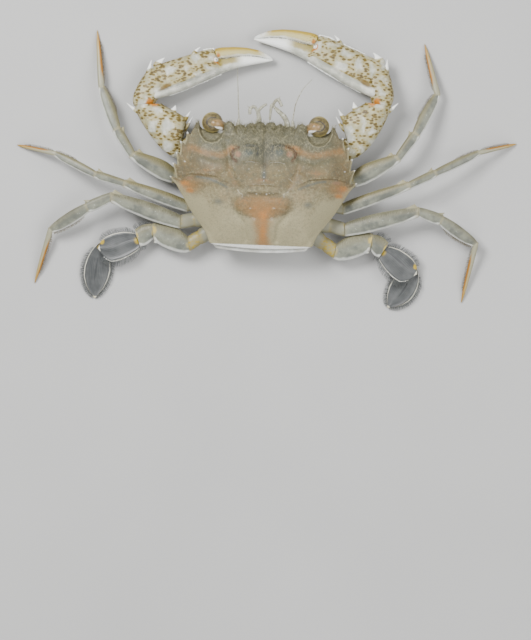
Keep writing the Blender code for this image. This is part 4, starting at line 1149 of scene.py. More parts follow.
def thorn(tip, root, radius, height):
    """A horny spine that bends forwards, to be joined to the article it stands on."""
    tip, root = Vector((*tip, height)), Vector((*root, height * 0.4))
    root += (root - tip) * THORN_BURIED
    way = tip - root
    length = way.length
    rings = [(share * length, radius * size, radius * size, radius * size * 0.8, 0.0)
             for share, size in THORN_PROFILE]
    piece, points = grown("thorn", rings, oval(1.0), 10, 1)
    share = points[:, 0] / length
    mark(piece, tip=0.04 + smooth_step(share, 0.46, 0.74) * 1.2)
    bow = 0.12 * length * np.sin(np.clip(share, 0, 1) * math.pi)
    points[:, 1] += bow if way.y > 0 else -bow
    put_points(piece, points)
    along = way.normalized()
    front = Vector((0, 0, 1)).cross(along).normalized()
    turned = Matrix((along, front, along.cross(front))).transposed().to_4x4()
    piece.data.transform(Matrix.Translation(root) @ turned)
    return piece


def add_thorns(piece, thorns):
    """Join thorns to an article, and read how near to a thorn's tip each point is."""
    mark(piece, tip=0.0)
    if thorns:
        join([piece] + thorns, piece.name)
    return read_mark(piece, "tip")


def claw_article(side_name, name, node, rows, spines, hinge, start, end, leans):
    """The claw's ischium, merus or carpus, with its spines."""
    way = (end - start).normalized()
    length = (end - start).length
    rings = jointed_rings(rows, length, neck=0.92)
    piece, _ = grown(f"{name}_{side_name}", rings, oval(0.92), 18, 2)
    tips = add_thorns(piece, [thorn(*row, 0.3) for row in spines])
    _, place, across, up = finish_article(
        piece, rings, length, leans, start, way, SIDES[side_name], 0)
    mark(piece, spotted=smooth_step(up, -0.35, 0.1) * smooth_step(np.abs(across), 1.3, 0.9),
         edge=smooth_step(across, 0.7, 1.0) * 0.8 + smooth_step(-across, 0.75, 1.0) * 0.5,
         below=smooth_step(up, -0.2, -0.6) * (1 - tips), smear=bell(across - 1.1, 0.3)
         * smooth_step(up, -0.6, 0.3) * np.where(tips > 0.02, 0.3, 0.75),
         knob=spot(place, across, hinge) * bell(up - 0.5, 0.9))
    hand_over(piece, "claw", "claw", f"{node}_{side_name}")


def claw(side_name):
    points = limb_points("claw", side_name)
    turn = math.radians(CLAW_HEADING[side_name])
    ahead = points[-1] + Vector((math.cos(turn) * SIDES[side_name], math.sin(turn), 0.0))
    stops = [coxa_root("claw", side_name), claw_coxa_end(side_name), *points, ahead]
    _, leans = joint_tangents(stops)
    for i, row in enumerate(CLAW_ARTICLES, 1):
        claw_article(side_name, *row, stops[i], stops[i + 1], leans[i])
    palm(side_name, leans[4][0])
    finger(side_name)


def claw_ring_rows(rows, length, stations):
    """Rings of a claw, read finely from its rows and held at their own heights."""
    rings = []
    for place in stations:
        outer, inner, thick = between(rows, place)
        rings.append((place * length, inner * length, -outer * length, thick * length,
                      claw_rise(place)))
    return rings


def claw_places(points, rows, length):
    """How far along, across and up each point of a palm or a finger is."""
    share = points[:, 0] / length
    outer, inner, thick = [values * length for values in between(rows, share)]
    across = (points[:, 1] - (outer + inner) / 2) / ((inner - outer) / 2)
    return share, across, (points[:, 2] - claw_rise(share)) / thick


def palm(side_name, first_lean):
    """The palm and its fixed finger, with spines, a granular lower edge and a row of teeth."""
    length = CLAW_LENGTH[side_name]
    rings = claw_ring_rows(PALM_ROWS, length, PALM_STATIONS)
    x, front, rear, thick, rise = rings[0]
    rings[:1] = [(-NECK, front * 0.88, rear * 0.88, thick * 0.86, 0.0),
                 (0.1, front * 0.9, rear * 0.9, thick * 0.88, 0.0),
                 (x, front * 0.96, rear * 0.96, thick * 0.95, rise)]
    piece, _ = grown(f"shaped_palm_{side_name}", rings, grooved(0.92, -0.04), 20, 2)
    tips = add_thorns(piece, [
        thorn([v * length for v in tip], [v * length for v in root], radius * length, 0.4)
        for tip, root, radius in PALM_SPINES])
    points = points_of(piece)
    share, across, up = claw_places(points, PALM_ROWS, length)
    high = smooth_step(up, 0.2, 0.6)
    fold = bell(across + 0.42, 0.1) * high * smooth_step(share, 0.5, 0.42)
    groove = bell(across + 0.64, 0.14) * high * smooth_step(share, 0.52, 0.4)
    points[:, 2] += fold * 0.28 - groove * 0.2
    bend = first_lean * (1 - np.clip(share / WRIST_SHARE, 0, 1))
    points[:, 0] -= points[:, 1] * bend * SIDES[side_name]
    heel = smooth_step(across, 0.1, -0.9) * smooth_step(share, 0.22, 0.0)
    points += np.outer(heel, HEEL_SHIFT)
    put_points(piece, points)
    face = smooth_step(up, 0.0, 0.5)
    mark(piece, spotted=smooth_step(across, -0.56, -0.34) * smooth_step(up, -0.4, 0.0)
         * smooth_step(share, 0.58, 0.5),
         edge=smooth_step(np.abs(across), 0.8, 1.0) * smooth_step(share, 0.6, 0.5) * 0.5
         + fold * 0.5 + smooth_step(share, 0.5, 0.53) * smooth_step(across, -0.4, 0.4),
         tip=tips + 0.9 * smooth_step(share, 0.52, 0.86),
         below=smooth_step(up, -0.2, -0.6) * (1 - tips),
         smear=spot(share, across, (0.07, -0.42, 0.05, 0.2, 1.1)) * face,
         knob=spot(share, across, (0.505, 0.15, 0.02, 0.22, 1.0)) * face)
    beads = palm_beads(side_name, length)
    mark(beads, edge=0.2, tip=0.7)
    teeth = finger_teeth(f"teeth_fixed_{side_name}", side_name, PALM_ROWS, 1, -1)
    hinge = bead_piece(f"hinge_pearl_{side_name}", [(length * 0.506, length * 0.1, 1.3, 0.62)])
    for made in (piece, beads, hinge):
        set_on_claw(made, side_name)
    hand_over(piece, "claw", "claw", f"claw_palm_{side_name}")
    hand_over(beads, "claw", "claw")
    hand_over(hinge, "teeth", "claw")
    hand_over(teeth, "teeth", "claw")


def palm_beads(side_name, length):
    """Granules along the palm's edges, one small bead copied along each row."""
    made = []
    for first, last, count, edge, radius in GRANULES[side_name]:
        for place in np.linspace(first, last, count):
            outer, inner, _ = between(PALM_ROWS, place)
            y = (inner if edge > 0 else outer) * length * 0.975
            size = radius * (0.75 + 0.5 * RANDOM.random())
            z = claw_rise(place) + 0.35 * (RANDOM.random() - 0.3)
            made.append((place * length, y, z, size))
    return bead_piece(f"palm_granules_{side_name}", made)


def bead_piece(name, beads):
    """One small round bead, modelled once and copied to each place as one mesh."""
    deselect()
    bpy.ops.mesh.primitive_ico_sphere_add(subdivisions=2, radius=1.0)
    bead = bpy.context.object
    faces = np.array([list(p.vertices) for p in bead.data.polygons])
    shape = points_of(bead)
    bpy.data.objects.remove(bead, do_unlink=True)
    points = np.concatenate([shape * size + np.array(place) for *place, size in beads])
    faces = np.concatenate([faces + i * len(shape) for i in range(len(beads))])
    return mesh_piece(name, points.tolist(), faces.tolist())


def finger_teeth(name, side_name, rows, edge, way):
    """Blunt teeth along the cutting edge of a finger, larger ones among smaller."""
    length = CLAW_LENGTH[side_name]
    made = []
    for i, place in enumerate(np.linspace(0.585, 0.955, FINGER_TEETH)):
        size = (1.0 if i % 4 == 1 else 0.62) * (1.1 - 0.5 * i / FINGER_TEETH)
        half, height = 0.42 * size, 0.85 * size
        y = between(rows, place)[edge] * length - way * height * 0.1
        deselect()
        bpy.ops.mesh.primitive_cone_add(
            vertices=8, radius1=half, radius2=half * 0.2, depth=height * 1.6,
            location=(place * length, y, claw_rise(place)),
            rotation=(math.pi / 2 * way, 0, 0), scale=(1.0, 0.8, 1.0))
        bpy.ops.object.transform_apply(location=True, rotation=True, scale=True)
        made.append(bpy.context.object)
        finish_modifier(made[-1], "BEVEL", width=half * 0.25, segments=2, limit_method="ANGLE")
    piece = join(made, name)
    set_on_claw(piece, side_name)
    return piece


def finger(side_name):
    """The movable finger, arched over the fixed one, with its knob at the hinge."""
    length = CLAW_LENGTH[side_name]
    first, last = FINGER_ROWS[0][0], FINGER_ROWS[-1][0]
    stations = np.concatenate((np.linspace(first, 0.6, 6), np.linspace(0.64, last, 14)))
    rings = claw_ring_rows(FINGER_ROWS, length, stations)
    piece, points = grown(f"shaped_dactyl_{side_name}", rings, grooved(0.95, 0.1), 16, 2)
    share, across, _ = claw_places(points, FINGER_ROWS, length)
    mark(piece, place=(share - first) / (last - first), across=across,
         knob=spot(share, across, (0.535, -0.3, 0.02, 0.5, 1.0)))
    set_on_claw(piece, side_name)
    teeth = finger_teeth(f"teeth_moving_{side_name}", side_name, FINGER_ROWS, 0, 1)
    hand_over(piece, "finger", "claw", f"claw_dactyl_{side_name}")
    hand_over(teeth, "teeth", "claw")


# The carapace: one shell drawn from its rim, with relief and marks placed from the middle line

CARAPACE_TOP = 16.35
DOME_CENTRE_Y = -1.0
DOME_SPREAD = 0.35
DOME_POWER = 2.3
FRONT_WALL = 12.2
FRONT_CURVE = 0.006
UNDER_HEIGHT = 8.3
SLOT_HEIGHT = 7.6
ORBIT_FLOOR_HEIGHT = 9.2
RIM_STEP = 0.24
TOP_RINGS = 92
SOFT_WIDTH = 3.0
ORBIT = (13.4, 13.0)
# The rim's right half from the front middle to the rear middle: where it and the line that the
# teeth stand on start, then runs from corner to corner, each with its further points and, where
# it is the flank of a tooth, the end of its length of that line
RIM_START = ((0, 13.75, 11.6), (0, 13.4, 11.7))
RIM_RUNS = (
    (((0.5, 14.25, 11.6), (1.3, 14.55, 11.6), (2.1, 14.4, 11.6), (2.65, 13.7, 11.6)),
    (2.65, 13.3, 11.7)), (((3.1, 14, 11.7), (3.75, 14.1, 11.7), (4.5, 13.75, 11.75),
    (5, 13.1, 11.8)), (5, 12.9, 11.9)), (((5.6, 13.55, 11.8), (6.3, 13.6, 12), (7, 13.3, 12.1),
    (7.4, 12.7, 12.2)), (7.4, 12.5, 12.2)), (((7.9, 13.5, 12.3), (8.6, 14.2, 12.3),
    (9.4, 14.3, 12.2), (10.1, 13.7, 12), (10.5, 12.9, 11.6)), (10.5, 12.3, 11.6)),
    (((11.1, 12.35, 11.2), (12.2, 12.1, 10.9), (13.6, 12, 10.8), (15, 12.1, 10.8),
    (15.9, 12.4, 10.8), (16.5, 13, 10.8)), (16.5, 12.2, 10.8)), (((16.8, 13.6, 10.8),
    (17.15, 14.35, 10.8)), (17.3, 12.2, 10.8)), (((17.4, 13.5, 10.7), (17.75, 12.6, 10.65),
    (18.25, 11.6, 10.6), (18.75, 10.5, 10.5)), (18.75, 10.3, 10.5)), (((19.05, 10.95, 10.35),
    (19.5, 11.4, 10.15)), (19.1, 9.7, 10.4)), (((19.65, 10.4, 10.2), (19.85, 9.3, 10.25),
    (20.15, 8.2, 10.3)), (20.15, 8.2, 10.3)), (((20.55, 8.65, 10.15), (21.1, 9, 9.95)),
    (20.5, 7.4, 10.2)), (((21.05, 7.9, 10.05), (21, 6.8, 10.1), (21.15, 5.6, 10.1)),
    (21.15, 5.6, 10.1)), (((21.6, 5.95, 9.95), (22.1, 6.2, 9.75)), (21.35, 4.8, 10)),
    (((21.9, 5.1, 9.85), (21.7, 4, 9.9), (21.65, 2.9, 9.9)), (21.65, 2.9, 9.9)),
    (((22.2, 3.25, 9.75), (22.85, 3.5, 9.55)), (21.75, 2, 9.8)), (((22.45, 2.3, 9.65),
    (22.05, 1, 9.7), (21.85, -0.3, 9.7)), (21.85, -0.3, 9.7)), (((22.6, 0, 9.5),
    (23.45, 0.15, 9.25)), (21.8, -1, 9.65)), (((22.85, -0.6, 9.35), (22.2, -1.35, 9.5),
    (21.6, -2, 9.6)), (21.6, -2, 9.6)), (((20.1, -4.5, 9.6), (18.1, -7.8, 9.6), (15.9, -10.8, 9.6),
    (14.3, -12.9, 9.7), (13.4, -14.6, 9.8), (12.9, -16, 9.9)), None), (((11.6, -16.5, 9.9),
    (8, -16.85, 10), (4, -17.1, 10), (0, -17.2, 10)), None),
)
# Swellings of the shell: place, half sizes and height
SWELLINGS = (
    (0, 7.6, 2.2, 3.2, -0.35), (3.9, 6.4, 1.9, 2.6, 0.42), (3.4, 2.4, 3, 1.5, 0.3),
    (0, -0.6, 2.6, 2.2, 0.2), (3.6, -5.9, 2.4, 2.1, 0.42), (0, -6.2, 1, 2.4, -0.12),
    (1.9, -10.4, 1.6, 2.2, 0.2), (12.3, -6, 4, 5, 0.55), (11.3, 2.9, 3.6, 2.2, 0.45),
    (16.6, 4.6, 2, 3.4, 0.35), (16.6, -1.2, 3, 1.6, 0.4), (6.6, 9.6, 1.6, 1.6, -0.2),
    (12.6, 6.6, 3.4, 1.2, -0.3), (8.9, -13.6, 2.6, 1.6, -0.15), (3.8, 11, 1.8, 1.2, 0.2),
)
# Grooves and ridges: points on the right, their width and height
GROOVES = (
    (((9.6, 8.6), (8.9, 5.4), (8.4, 2), (6.9, -1), (5.6, -2.9), (3, -4), (0, -4.1)), 0.75, -0.5),
    (((6.9, -3.2), (7, -5.8), (6.4, -8.6), (4.4, -11), (3.9, -14.8)), 0.7, -0.42), (((8.4, 2),
    (12.2, 0.2), (17, -0.2), (21, -1.9)), 0.7, -0.25), (((0, 12.4), (0, 9.6), (0, 4.4)), 0.5, -0.3),
    (((8.6, 5.4), (12.6, 4.6), (17.4, 6.6)), 0.6, -0.22), (((14.4, -12.6), (12.2, -14.2),
    (11.4, -16.2)), 0.8, -0.2),
)
ORBIT_ARC = (
    (10.3, 11.6), (10.8, 10.1), (11.8, 9.1), (13.3, 8.7), (14.9, 9.1), (16.1, 10.4), (16.8, 12.2),
)
RIDGES = (
    (((1.5, 4.3), (3.6, 4.55), (5.6, 4.1)), 0.24, 0.26), (((0, -1.2), (1.4, -1), (2.9, -1.35)),
    0.24, 0.26), (((22.6, -0.1), (20.3, 0.6), (18.1, 1.1), (15.4, 1.1), (11.8, 0.6), (9.3, -0.6)),
    0.28, 0.34), (((0.8, -3.2), (3.4, -3), (5.7, -3.3)), 0.3, 0.16), (((6, 0.7), (6.8, 0.3),
    (7.4, -0.5)), 0.22, 0.26), (((6.7, -2.1), (6.2, -2.9), (5, -3.6)), 0.22, 0.26), (((2.2, 8.6),
    (3.8, 8.9), (5.4, 8.4)), 0.26, 0.2), (ORBIT_ARC, 0.26, 0.3), (((2.2, -7.4), (3.6, -7.1),
    (5.2, -7.5)), 0.35, 0.16), (((17.5, -3.2), (18.9, -2.9), (20.2, -3.5)), 0.35, 0.2),
)


def rim_curves():
    """The rim with its teeth, the rim without them, and the soft rim, as equal rows of points."""
    sharp, plain = [], []
    corner, foot = RIM_START
    for run, next_foot in RIM_RUNS:
        line = np.array(spline((corner, *run), 12))
        steps = run_along(line)
        at = np.linspace(0, 1, max(3, round(steps[-1] / RIM_STEP)), endpoint=False)
        sharp.append(read_line(at * steps[-1], steps, line))
        plain.append(sharp[-1] if next_foot is None else
                     np.array(foot) + np.outer(at, np.array(next_foot) - np.array(foot)))
        corner, foot = run[-1], next_foot
    rows = []
    for half in (sharp, plain):
        right = np.concatenate(half + [[corner]])
        rows.append(np.concatenate((right, right[1:-1][::-1] * (-1, 1, 1))))
    waves = np.fft.fftfreq(len(rows[1]))[:, None]
    blur = np.exp(-2 * (math.pi * SOFT_WIDTH / RIM_STEP * waves) ** 2)
    return (*rows, np.real(np.fft.ifft(np.fft.fft(rows[1], axis=0) * blur, axis=0)))


def nearest_on(points, x, y):
    """Distance of every place from a line of points, and how far along the line it is."""
    best = np.full(x.shape, np.inf)
    along = np.zeros(x.shape)
    run = 0.0
    for (ax, ay), (bx, by) in zip(points, points[1:]):
        length = math.hypot(bx - ax, by - ay)
        share = ((x - ax) * (bx - ax) + (y - ay) * (by - ay)) / length ** 2
        share = np.clip(share, 0, 1)
        away = np.hypot(x - ax - share * (bx - ax), y - ay - share * (by - ay))
        along = np.where(away < best, run + share * length, along)
        best = np.minimum(away, best)
        run += length
    return best, along


def streak(points, x, y, width):
    return bell(nearest_on(points, x, y)[0], width)


def marks(x, y, spots, lines=()):
    """The sum of soft round marks and of soft lines."""
    return (sum(spot(x, y, row) for row in spots)
            + sum(strength * streak(line, x, y, width) for line, width, strength in lines))


def from_orbit(x, y, wide, long):
    """Distance from an orbit's middle, as a share of an oval's half sizes."""
    return np.hypot((np.abs(x) - ORBIT[0]) / wide, (y - ORBIT[1]) / long)


def shell_relief(x, y):
    side = np.abs(x)
    rise = marks(side, y, SWELLINGS, GROOVES)
    for points, width, height in RIDGES:
        away, along = nearest_on(points, side, y)
        rise += height * (0.72 + 0.28 * np.sin(along * 9.0)) * bell(away, width)
    return rise


def under_rings(sharp, plain):
    """Rings from the rim down to the slot over the thorax."""
    x, y, z = plain.T
    low_y = np.where(y > DOME_CENTRE_Y, np.minimum(y, FRONT_WALL - FRONT_CURVE * x * x), y)
    low_y = np.where(y > 0, low_y, low_y * 0.975)
    keys = [sharp, sharp * (0.985, 0.99, 1.0) - (0.0, 0.0, 0.7)]
    for wide, long, height in (
            (1.0, 1.0, z - 1.1), (1.0, 1.0, np.minimum(ORBIT_FLOOR_HEIGHT, z - 1.3)),
            (0.96, 0.975, np.minimum(UNDER_HEIGHT, z - 1.5)),
            (0.8, 0.9, np.full(len(x), SLOT_HEIGHT)), (0.02, 0.02, np.full(len(x), SLOT_HEIGHT))):
        keys.append(np.stack((x * 0.965 * wide, low_y * long, height), 1))
    rings = []
    for first, last, steps in zip(keys, keys[1:], (3, 4, 3, 4, 3, 4)):
        rings += [first + (last - first) * i / steps for i in range(1, steps + 1)]
    return rings


def carapace():
    sharp, plain, soft = rim_curves()
    count = len(sharp)
    rings = []
    for share in np.arange(TOP_RINGS + 1) / TOP_RINGS:
        edge = (soft + (plain - soft) * smooth_step(share, 0.55, 0.97)
                + (sharp - plain) * smooth_step(share, 0.86, 1.0))
        x = edge[:, 0] * (DOME_SPREAD * (1 - share) * min(1.0, share / 0.25) + share)
        y = DOME_CENTRE_Y + (edge[:, 1] - DOME_CENTRE_Y) * share
        z = edge[:, 2] + (CARAPACE_TOP - 0.25 - edge[:, 2]) * (1 - share ** DOME_POWER)
        z += shell_relief(x, y) * smooth_step(share, 1.0, 0.93)
        bowl = smooth_step(from_orbit(x, y, 3.3, 4.2), 1.04, 0.8)
        rings.append(np.stack((x, y, z - 0.9 * bowl * smooth_step(share, 1.0, 0.97)), 1))
    rings += under_rings(sharp, plain)
    levels = len(rings)
    deselect()
    bpy.ops.mesh.primitive_grid_add(
        x_subdivisions=count, y_subdivisions=levels, size=2.0, calc_uvs=False)
    piece = bpy.context.object
    piece.name = "shaped_carapace"
    points = points_of(piece)
    column = np.rint((points[:, 0] + 1) / 2 * count).astype(int) % count
    level = np.rint((points[:, 1] + 1) / 2 * levels).astype(int)
    grid = np.stack(rings + [np.tile(rings[-1].mean(axis=0), (count, 1))])
    grid[0] = grid[0].mean(axis=0)
    points = grid[level, column]
    put_points(piece, points)
    mark_shell(piece, points, level / TOP_RINGS)
    mark(piece, unwrap_u=column / count, unwrap_v=level / levels)
    work_on(piece)
    bpy.ops.object.mode_set(mode="EDIT")
    bpy.ops.mesh.select_all(action="SELECT")
    bpy.ops.mesh.remove_doubles(threshold=1e-5)
    turn_outwards()
    points = close_piece(piece, 0)
    normals = np.empty(points.size, np.float32)
    piece.data.vertex_normals.foreach_get("vector", normals)
    unwrap = []
    for name in ("unwrap_u", "unwrap_v"):
        unwrap.append(read_mark(piece, name))
        piece.data.attributes.remove(piece.data.attributes[name])
    front_fuzz(points, normals.reshape(-1, 3), np.stack(unwrap, 1))
    to_metres(piece)
    hand_over(piece, "shell", "shell", "carapace")


# Marks of the shell, from the middle line: half widths and strengths
ORANGE_LINES = (
    (((-18.4, 7.5), (-14.5, 6.2), (-10.6, 5.9), (-7.6, 7.5)), 1.05, 0.95), (((5.6, 8.4), (8.5, 7.4),
    (12.1, 6.5), (15.5, 7.1), (18.9, 8)), 1.1, 0.95), (((-0.5, -8.2), (0.1, -12), (0.6, -16.4)),
    1.8, 1), (((-2.3, -0.4), (0, -0.1), (2.5, -0.4)), 0.5, 0.5), (((-9, 3.8), (-8.2, 1),
    (-6.6, -1.5)), 0.9, 0.45), (((8.8, 3.8), (8.2, 1), (6.6, -1.5)), 0.9, 0.45),
)
HEART_RIM = (
    (3.4, -4.2), (5.6, -4.6), (6.1, -6.2), (5.2, -8), (2.4, -8.6),
)
ORANGE_SPOTS = (
    (0, -6.3, 6.4, 2.3, 0.3), (-18.2, -2, 3.4, 2.2, 1), (19, -1.6, 3.2, 2.2, 1),
    (0.3, -10.6, 3.8, 3, 0.55), (-14, 1.9, 3.6, 1.3, 0.5), (13.2, 2.1, 3.4, 1.3, 0.5),
    (-9.5, -4.2, 2.6, 3, 0.35), (9.6, -4.2, 2.6, 3, 0.35), (0.3, -15.8, 3.2, 1.6, 0.4),
    (0, 2.4, 3.2, 1, 0.2), (-19.6, 4.4, 1.6, 2.6, 0.45), (19.8, 4.4, 1.6, 2.6, 0.45),
)
DEEP_SPOTS = (
    (-19.6, -1.5, 1.5, 0.9, 1), (-18.2, -3.3, 1.3, 0.8, 1), (20, -1.5, 1.4, 0.9, 1),
    (19, -3.3, 1.3, 0.8, 1), (0.2, -8.6, 1.5, 1.4, 0.75), (0.4, -13, 1.1, 3.6, 0.85),
    (-4.6, -5.3, 1.5, 1, 0.5), (4.6, -5.2, 1.5, 1, 0.5), (-14.2, 1.9, 2.2, 0.5, 0.5),
    (13.2, 2.1, 2.2, 0.5, 0.5), (0, 0, 1.6, 0.5, 0.6), (-1.8, -6.8, 0.9, 0.9, 0.5),
    (1.8, -6.8, 0.9, 0.9, 0.5), (-8.2, 7.7, 1.5, 0.9, 0.7), (7.6, 8.3, 1.7, 0.9, 0.7),
)
BLUISH_SPOTS = (
    (-3.9, 6.7, 1.5, 1.15, 1.1), (3.8, 7.05, 1.5, 1.15, 1.1), (-11, -5.8, 1.7, 1.1, 0.8),
    (11.4, -5.8, 1.7, 1.1, 0.8), (0.1, 1.2, 0.9, 2, 0.9), (-15.6, 4, 2.2, 1, 0.3),
    (15.8, 4, 2.2, 1, 0.3), (-3.7, 2.4, 1.4, 0.6, 0.4), (3.7, 2.4, 1.4, 0.6, 0.4),
)
# Pink spots; the last, on the right flank only, is painted light that brightens a patch the lamps
# leave in shade
PINK_SPOTS_AND_PAINTED_LIGHT = (
    (-6.6, 6.2, 1, 1, 1.1), (6.3, 6.7, 1, 1, 1.1), (-18.4, -0.2, 1.5, 0.7, 0.7),
    (18.2, 0, 1.5, 0.7, 0.7), (19.4, -2, 1.6, 1.4, 0.6),
)
SLATE_MARKS = (
    (0, 6.6, 2, 2.8, 0.75), (0, 9.6, 1.6, 1.6, 0.35), (-6, 10.2, 2.6, 1.6, 0.35),
    (6, 10.4, 2.6, 1.6, 0.35), (-13, 4.6, 2.4, 0.8, 0.3), (13.2, 4.8, 2.4, 0.8, 0.3),
    (-3.9, 8.4, 1.9, 0.6, 1), (3.8, 8.7, 1.9, 0.6, 1), (-1.9, 6.9, 0.5, 1.4, 0.9),
    (1.9, 7.2, 0.5, 1.4, 0.9), (0.1, 3.2, 0.9, 1.2, 0.6), (0, -0.1, 0.5, 0.5, 0.6),
    (-10.4, 11, 1.4, 1.2, 0.5), (9.9, 11.2, 1.4, 1.2, 0.5),
)
BROWN_SPOTS = (
    (-8, 6.2, 0.5, 0.8, 0.35), (7.7, 6.6, 0.5, 0.8, 0.35), (-9.8, 4.7, 0.6, 0.4, 0.3),
    (9.6, 5, 0.6, 0.4, 0.3),
)
DARK_LINES = (
    (((-20.2, -0.1), (-18.3, 0.85), (-14.9, 0.55), (-11.2, -0.4), (-8.6, -1.1)), 0.18, 0.6),
    (((8.9, -0.9), (11.5, 0.4), (15.7, 0.75), (18.1, 0.85), (20.4, 0.3)), 0.18, 0.6), (((-6.6, 7.9),
    (-7.7, 7.3), (-8.15, 6.4), (-7.8, 5.1), (-7, 4.6)), 0.55, 0.95), (((5.8, 8.5), (7.2, 7.9),
    (7.8, 6.9), (7.6, 5.9), (7, 5.1)), 0.55, 0.95), (((-3, 3.6), (-5.2, 3.7), (-7.4, 4.3)), 0.3,
    0.25), (((3, 3.8), (5.2, 3.9), (7.4, 4.5)), 0.3, 0.25),
)
WHITE_LINES = (
    (((-4.6, 4.25), (-3.4, 4.45), (-1.6, 4.25)), 0.16, 0.55), (((1.6, 4.35), (3.6, 4.6),
    (5.3, 4.2)), 0.16, 0.55), (((-2.6, -1.2), (0, -1.05), (2.9, -1.15)), 0.14, 0.45), (((-6.3, 0.3),
    (-6.9, -0.2), (-7.1, -0.9)), 0.24, 0.5), (((6, 0.7), (6.8, 0.2), (7.4, -0.3)), 0.24, 0.5),
    (((-6.4, -2.5), (-6, -3.2), (-5, -3.9), (-5.2, -4.6)), 0.26, 0.55), (((6.7, -2), (6.2, -2.8),
    (5.2, -3.4), (5.3, -4.2)), 0.26, 0.55),
)
BLUE_LINES = (
    (((-16.6, 0.2), (-13.5, -0.2), (-11, -1.2), (-9, -2.2)), 0.5, 0.8), (((8.9, -2), (11.5, -0.8),
    (13.5, -0.1), (15.4, 0.2)), 0.5, 0.8),
)
WHITE_SPOTS = (
    (-1.6, -3.5, 0.3, 0.25, 0.8), (0.9, -3.5, 0.3, 0.3, 0.8), (1.6, -3.3, 0.25, 0.25, 0.7),
    (-0.7, -3.3, 0.25, 0.25, 0.6), (2.6, -3.2, 0.3, 0.2, 0.6), (-2.9, -3.3, 0.3, 0.2, 0.6),
    (3.7, 2.6, 0.25, 0.25, 0.6), (-3.7, 2.6, 0.25, 0.25, 0.6), (-19.8, 3.9, 0.4, 0.3, 0.8),
    (20.2, 2.9, 0.4, 0.3, 0.8), (-3, -7.2, 0.6, 0.35, 0.6), (2.9, -6.9, 0.6, 0.35, 0.6),
    (-2, -9.8, 1, 0.8, 0.5), (2.4, -9.6, 1, 0.8, 0.5), (0.1, 1.9, 0.2, 0.2, 0.8),
    (0.1, 0.7, 0.2, 0.2, 0.8), (0.1, -0.2, 0.2, 0.2, 0.8),
)
TOOTH_TIPS = ((17.1, 14.2), (19.5, 11.3), (21.1, 8.9), (22.1, 6.1), (22.85, 3.4), (23.4, 0.1))
INNER_ARC = ((10.9, 11.6), (11.6, 10.2), (13.3, 9.6), (15.0, 10.2), (16.0, 11.6))
FACET = ((21.4, -2.6), (15.2, -11.4), (13.4, -14.8))


def mark_shell(piece, points, share):
    """Paint where each colour of the shell lies."""
    x, y, _ = points.T
    side = np.abs(x)
    top = share <= 1.0
    under = smooth_step(share, 1.005, 1.05)
    orbit = smooth_step(side, 9.8, 10.8) * smooth_step(side, 17.2, 16.2) * smooth_step(y, 7.0, 8.0)
    heart = np.hypot(side / 6.8, (y + 6.3) / 3.1)
    orange = (marks(x, y, ORANGE_SPOTS, ORANGE_LINES) + smooth_step(heart, 1.15, 0.5) * 0.66
              + 0.2 * streak(HEART_RIM, side, y, 0.8))
    dark = marks(x, y, BROWN_SPOTS, DARK_LINES) + 0.3 * streak(INNER_ARC, side, y, 0.3)
    behind = smooth_step(y, -15.9, -16.5) * smooth_step(side, 13.2, 12.2)
    crescent = spot(side, y, (11.3, 11.9, 0.9, 0.7, 1.1))
    white = (marks(x, y, WHITE_SPOTS, WHITE_LINES) + behind * 1.3 + under * 0.75 * (1 - orbit)
             + crescent * (1 - under) + marks(
                 side, y, [(*tip, 0.5, 0.6, 1.2) for tip in TOOTH_TIPS]))
    rear = 0.5 * smooth_step(y, 0.0, -3.0) + 0.3 * smooth_step(y, -4.0, -10.0)
    edge = smooth_step(share, 0.95, 0.995) * smooth_step(y, 12.5, 9.0)
    pale = (streak(FACET, side, y, 1.5) + spot(side, y, (15.7, -7.5, 1.8, 2.6, 0.8))
            + rear * smooth_step(heart, 0.8, 1.3) + edge * 0.9
            + 0.6 * streak(ORBIT_ARC, side, y, 0.22)
            + 0.3 * smooth_step(from_orbit(x, y, 3.3, 4.2), 0.98, 0.8))
    front = smooth_step(y, 0.5, 7.5) * smooth_step(side, 23, 12)
    # pink: pink spots and the right flank's painted light patch
    mark(piece, front=front * np.maximum(1 - under, orbit), pale=pale * (1 - under), white=white,
         orange=orange * top, dark=dark * top, deep=marks(x, y, DEEP_SPOTS) * top,
         bluish=marks(x, y, BLUISH_SPOTS, BLUE_LINES) * top,
         pink=marks(x, y, PINK_SPOTS_AND_PAINTED_LIGHT) * top, slate=marks(x, y, SLATE_MARKS) * top)


# The body below the shell

THORAX_STATIONS = (
    (-14.4, 9.5, 2.6), (-12.5, 12.4, 1.7), (-8, 13.4, 1.7), (-3, 13.4, 1.7), (0.9, 12.8, 1.7),
    (2.2, 12.4, 0.9), (6, 11, 1.2), (8.4, 10, 2.5), (12, 8.2, 6.1),
)
THORAX_TOP = SLOT_HEIGHT - GAP
SUTURES = (
    ((13.6, 3.4), (9.6, 4.6), (5, 4)), ((13.8, -2), (11, -1.4), (8, -2.4)), ((14, -7), (11.8, -6.6),
    (9.4, -7.4)), ((13.8, -11.2), (12.4, -11), (11, -11.6)), ((0, 7.6), (0, 2)), ((7.4, 8.8),
    (3.4, 5.4), (0, 4.8)),
)


def thorax():
    """The breastplates, with their seams, and a base article for each limb."""
    rings = [(y, half, half, (THORAX_TOP - low) / 2, (THORAX_TOP + low) / 2)
             for y, half, low in THORAX_STATIONS]
    fine = [(y, *between(rings, y)) for y in np.linspace(rings[0][0], rings[-1][0], 40)]
    piece, points = grown("shaped_thorax", fine, oval(0.55), 48, 1)
    points = points[:, (1, 0, 2)]
    x, y, z = points.T
    below = smooth_step(z, 5.2, 3.2)
    seam = sum(streak(line, np.abs(x), y, 0.34) for line in SUTURES)
    points[:, 2] += seam * 0.45 * below
    put_points(piece, points)
    piece.data.flip_normals()
    mark(piece, seam=seam * below)
    to_metres(piece)
    hand_over(piece, "belly", "belly", "thorax")
    for limb, side_name in LIMB_POSES:
        coxa(limb, side_name)


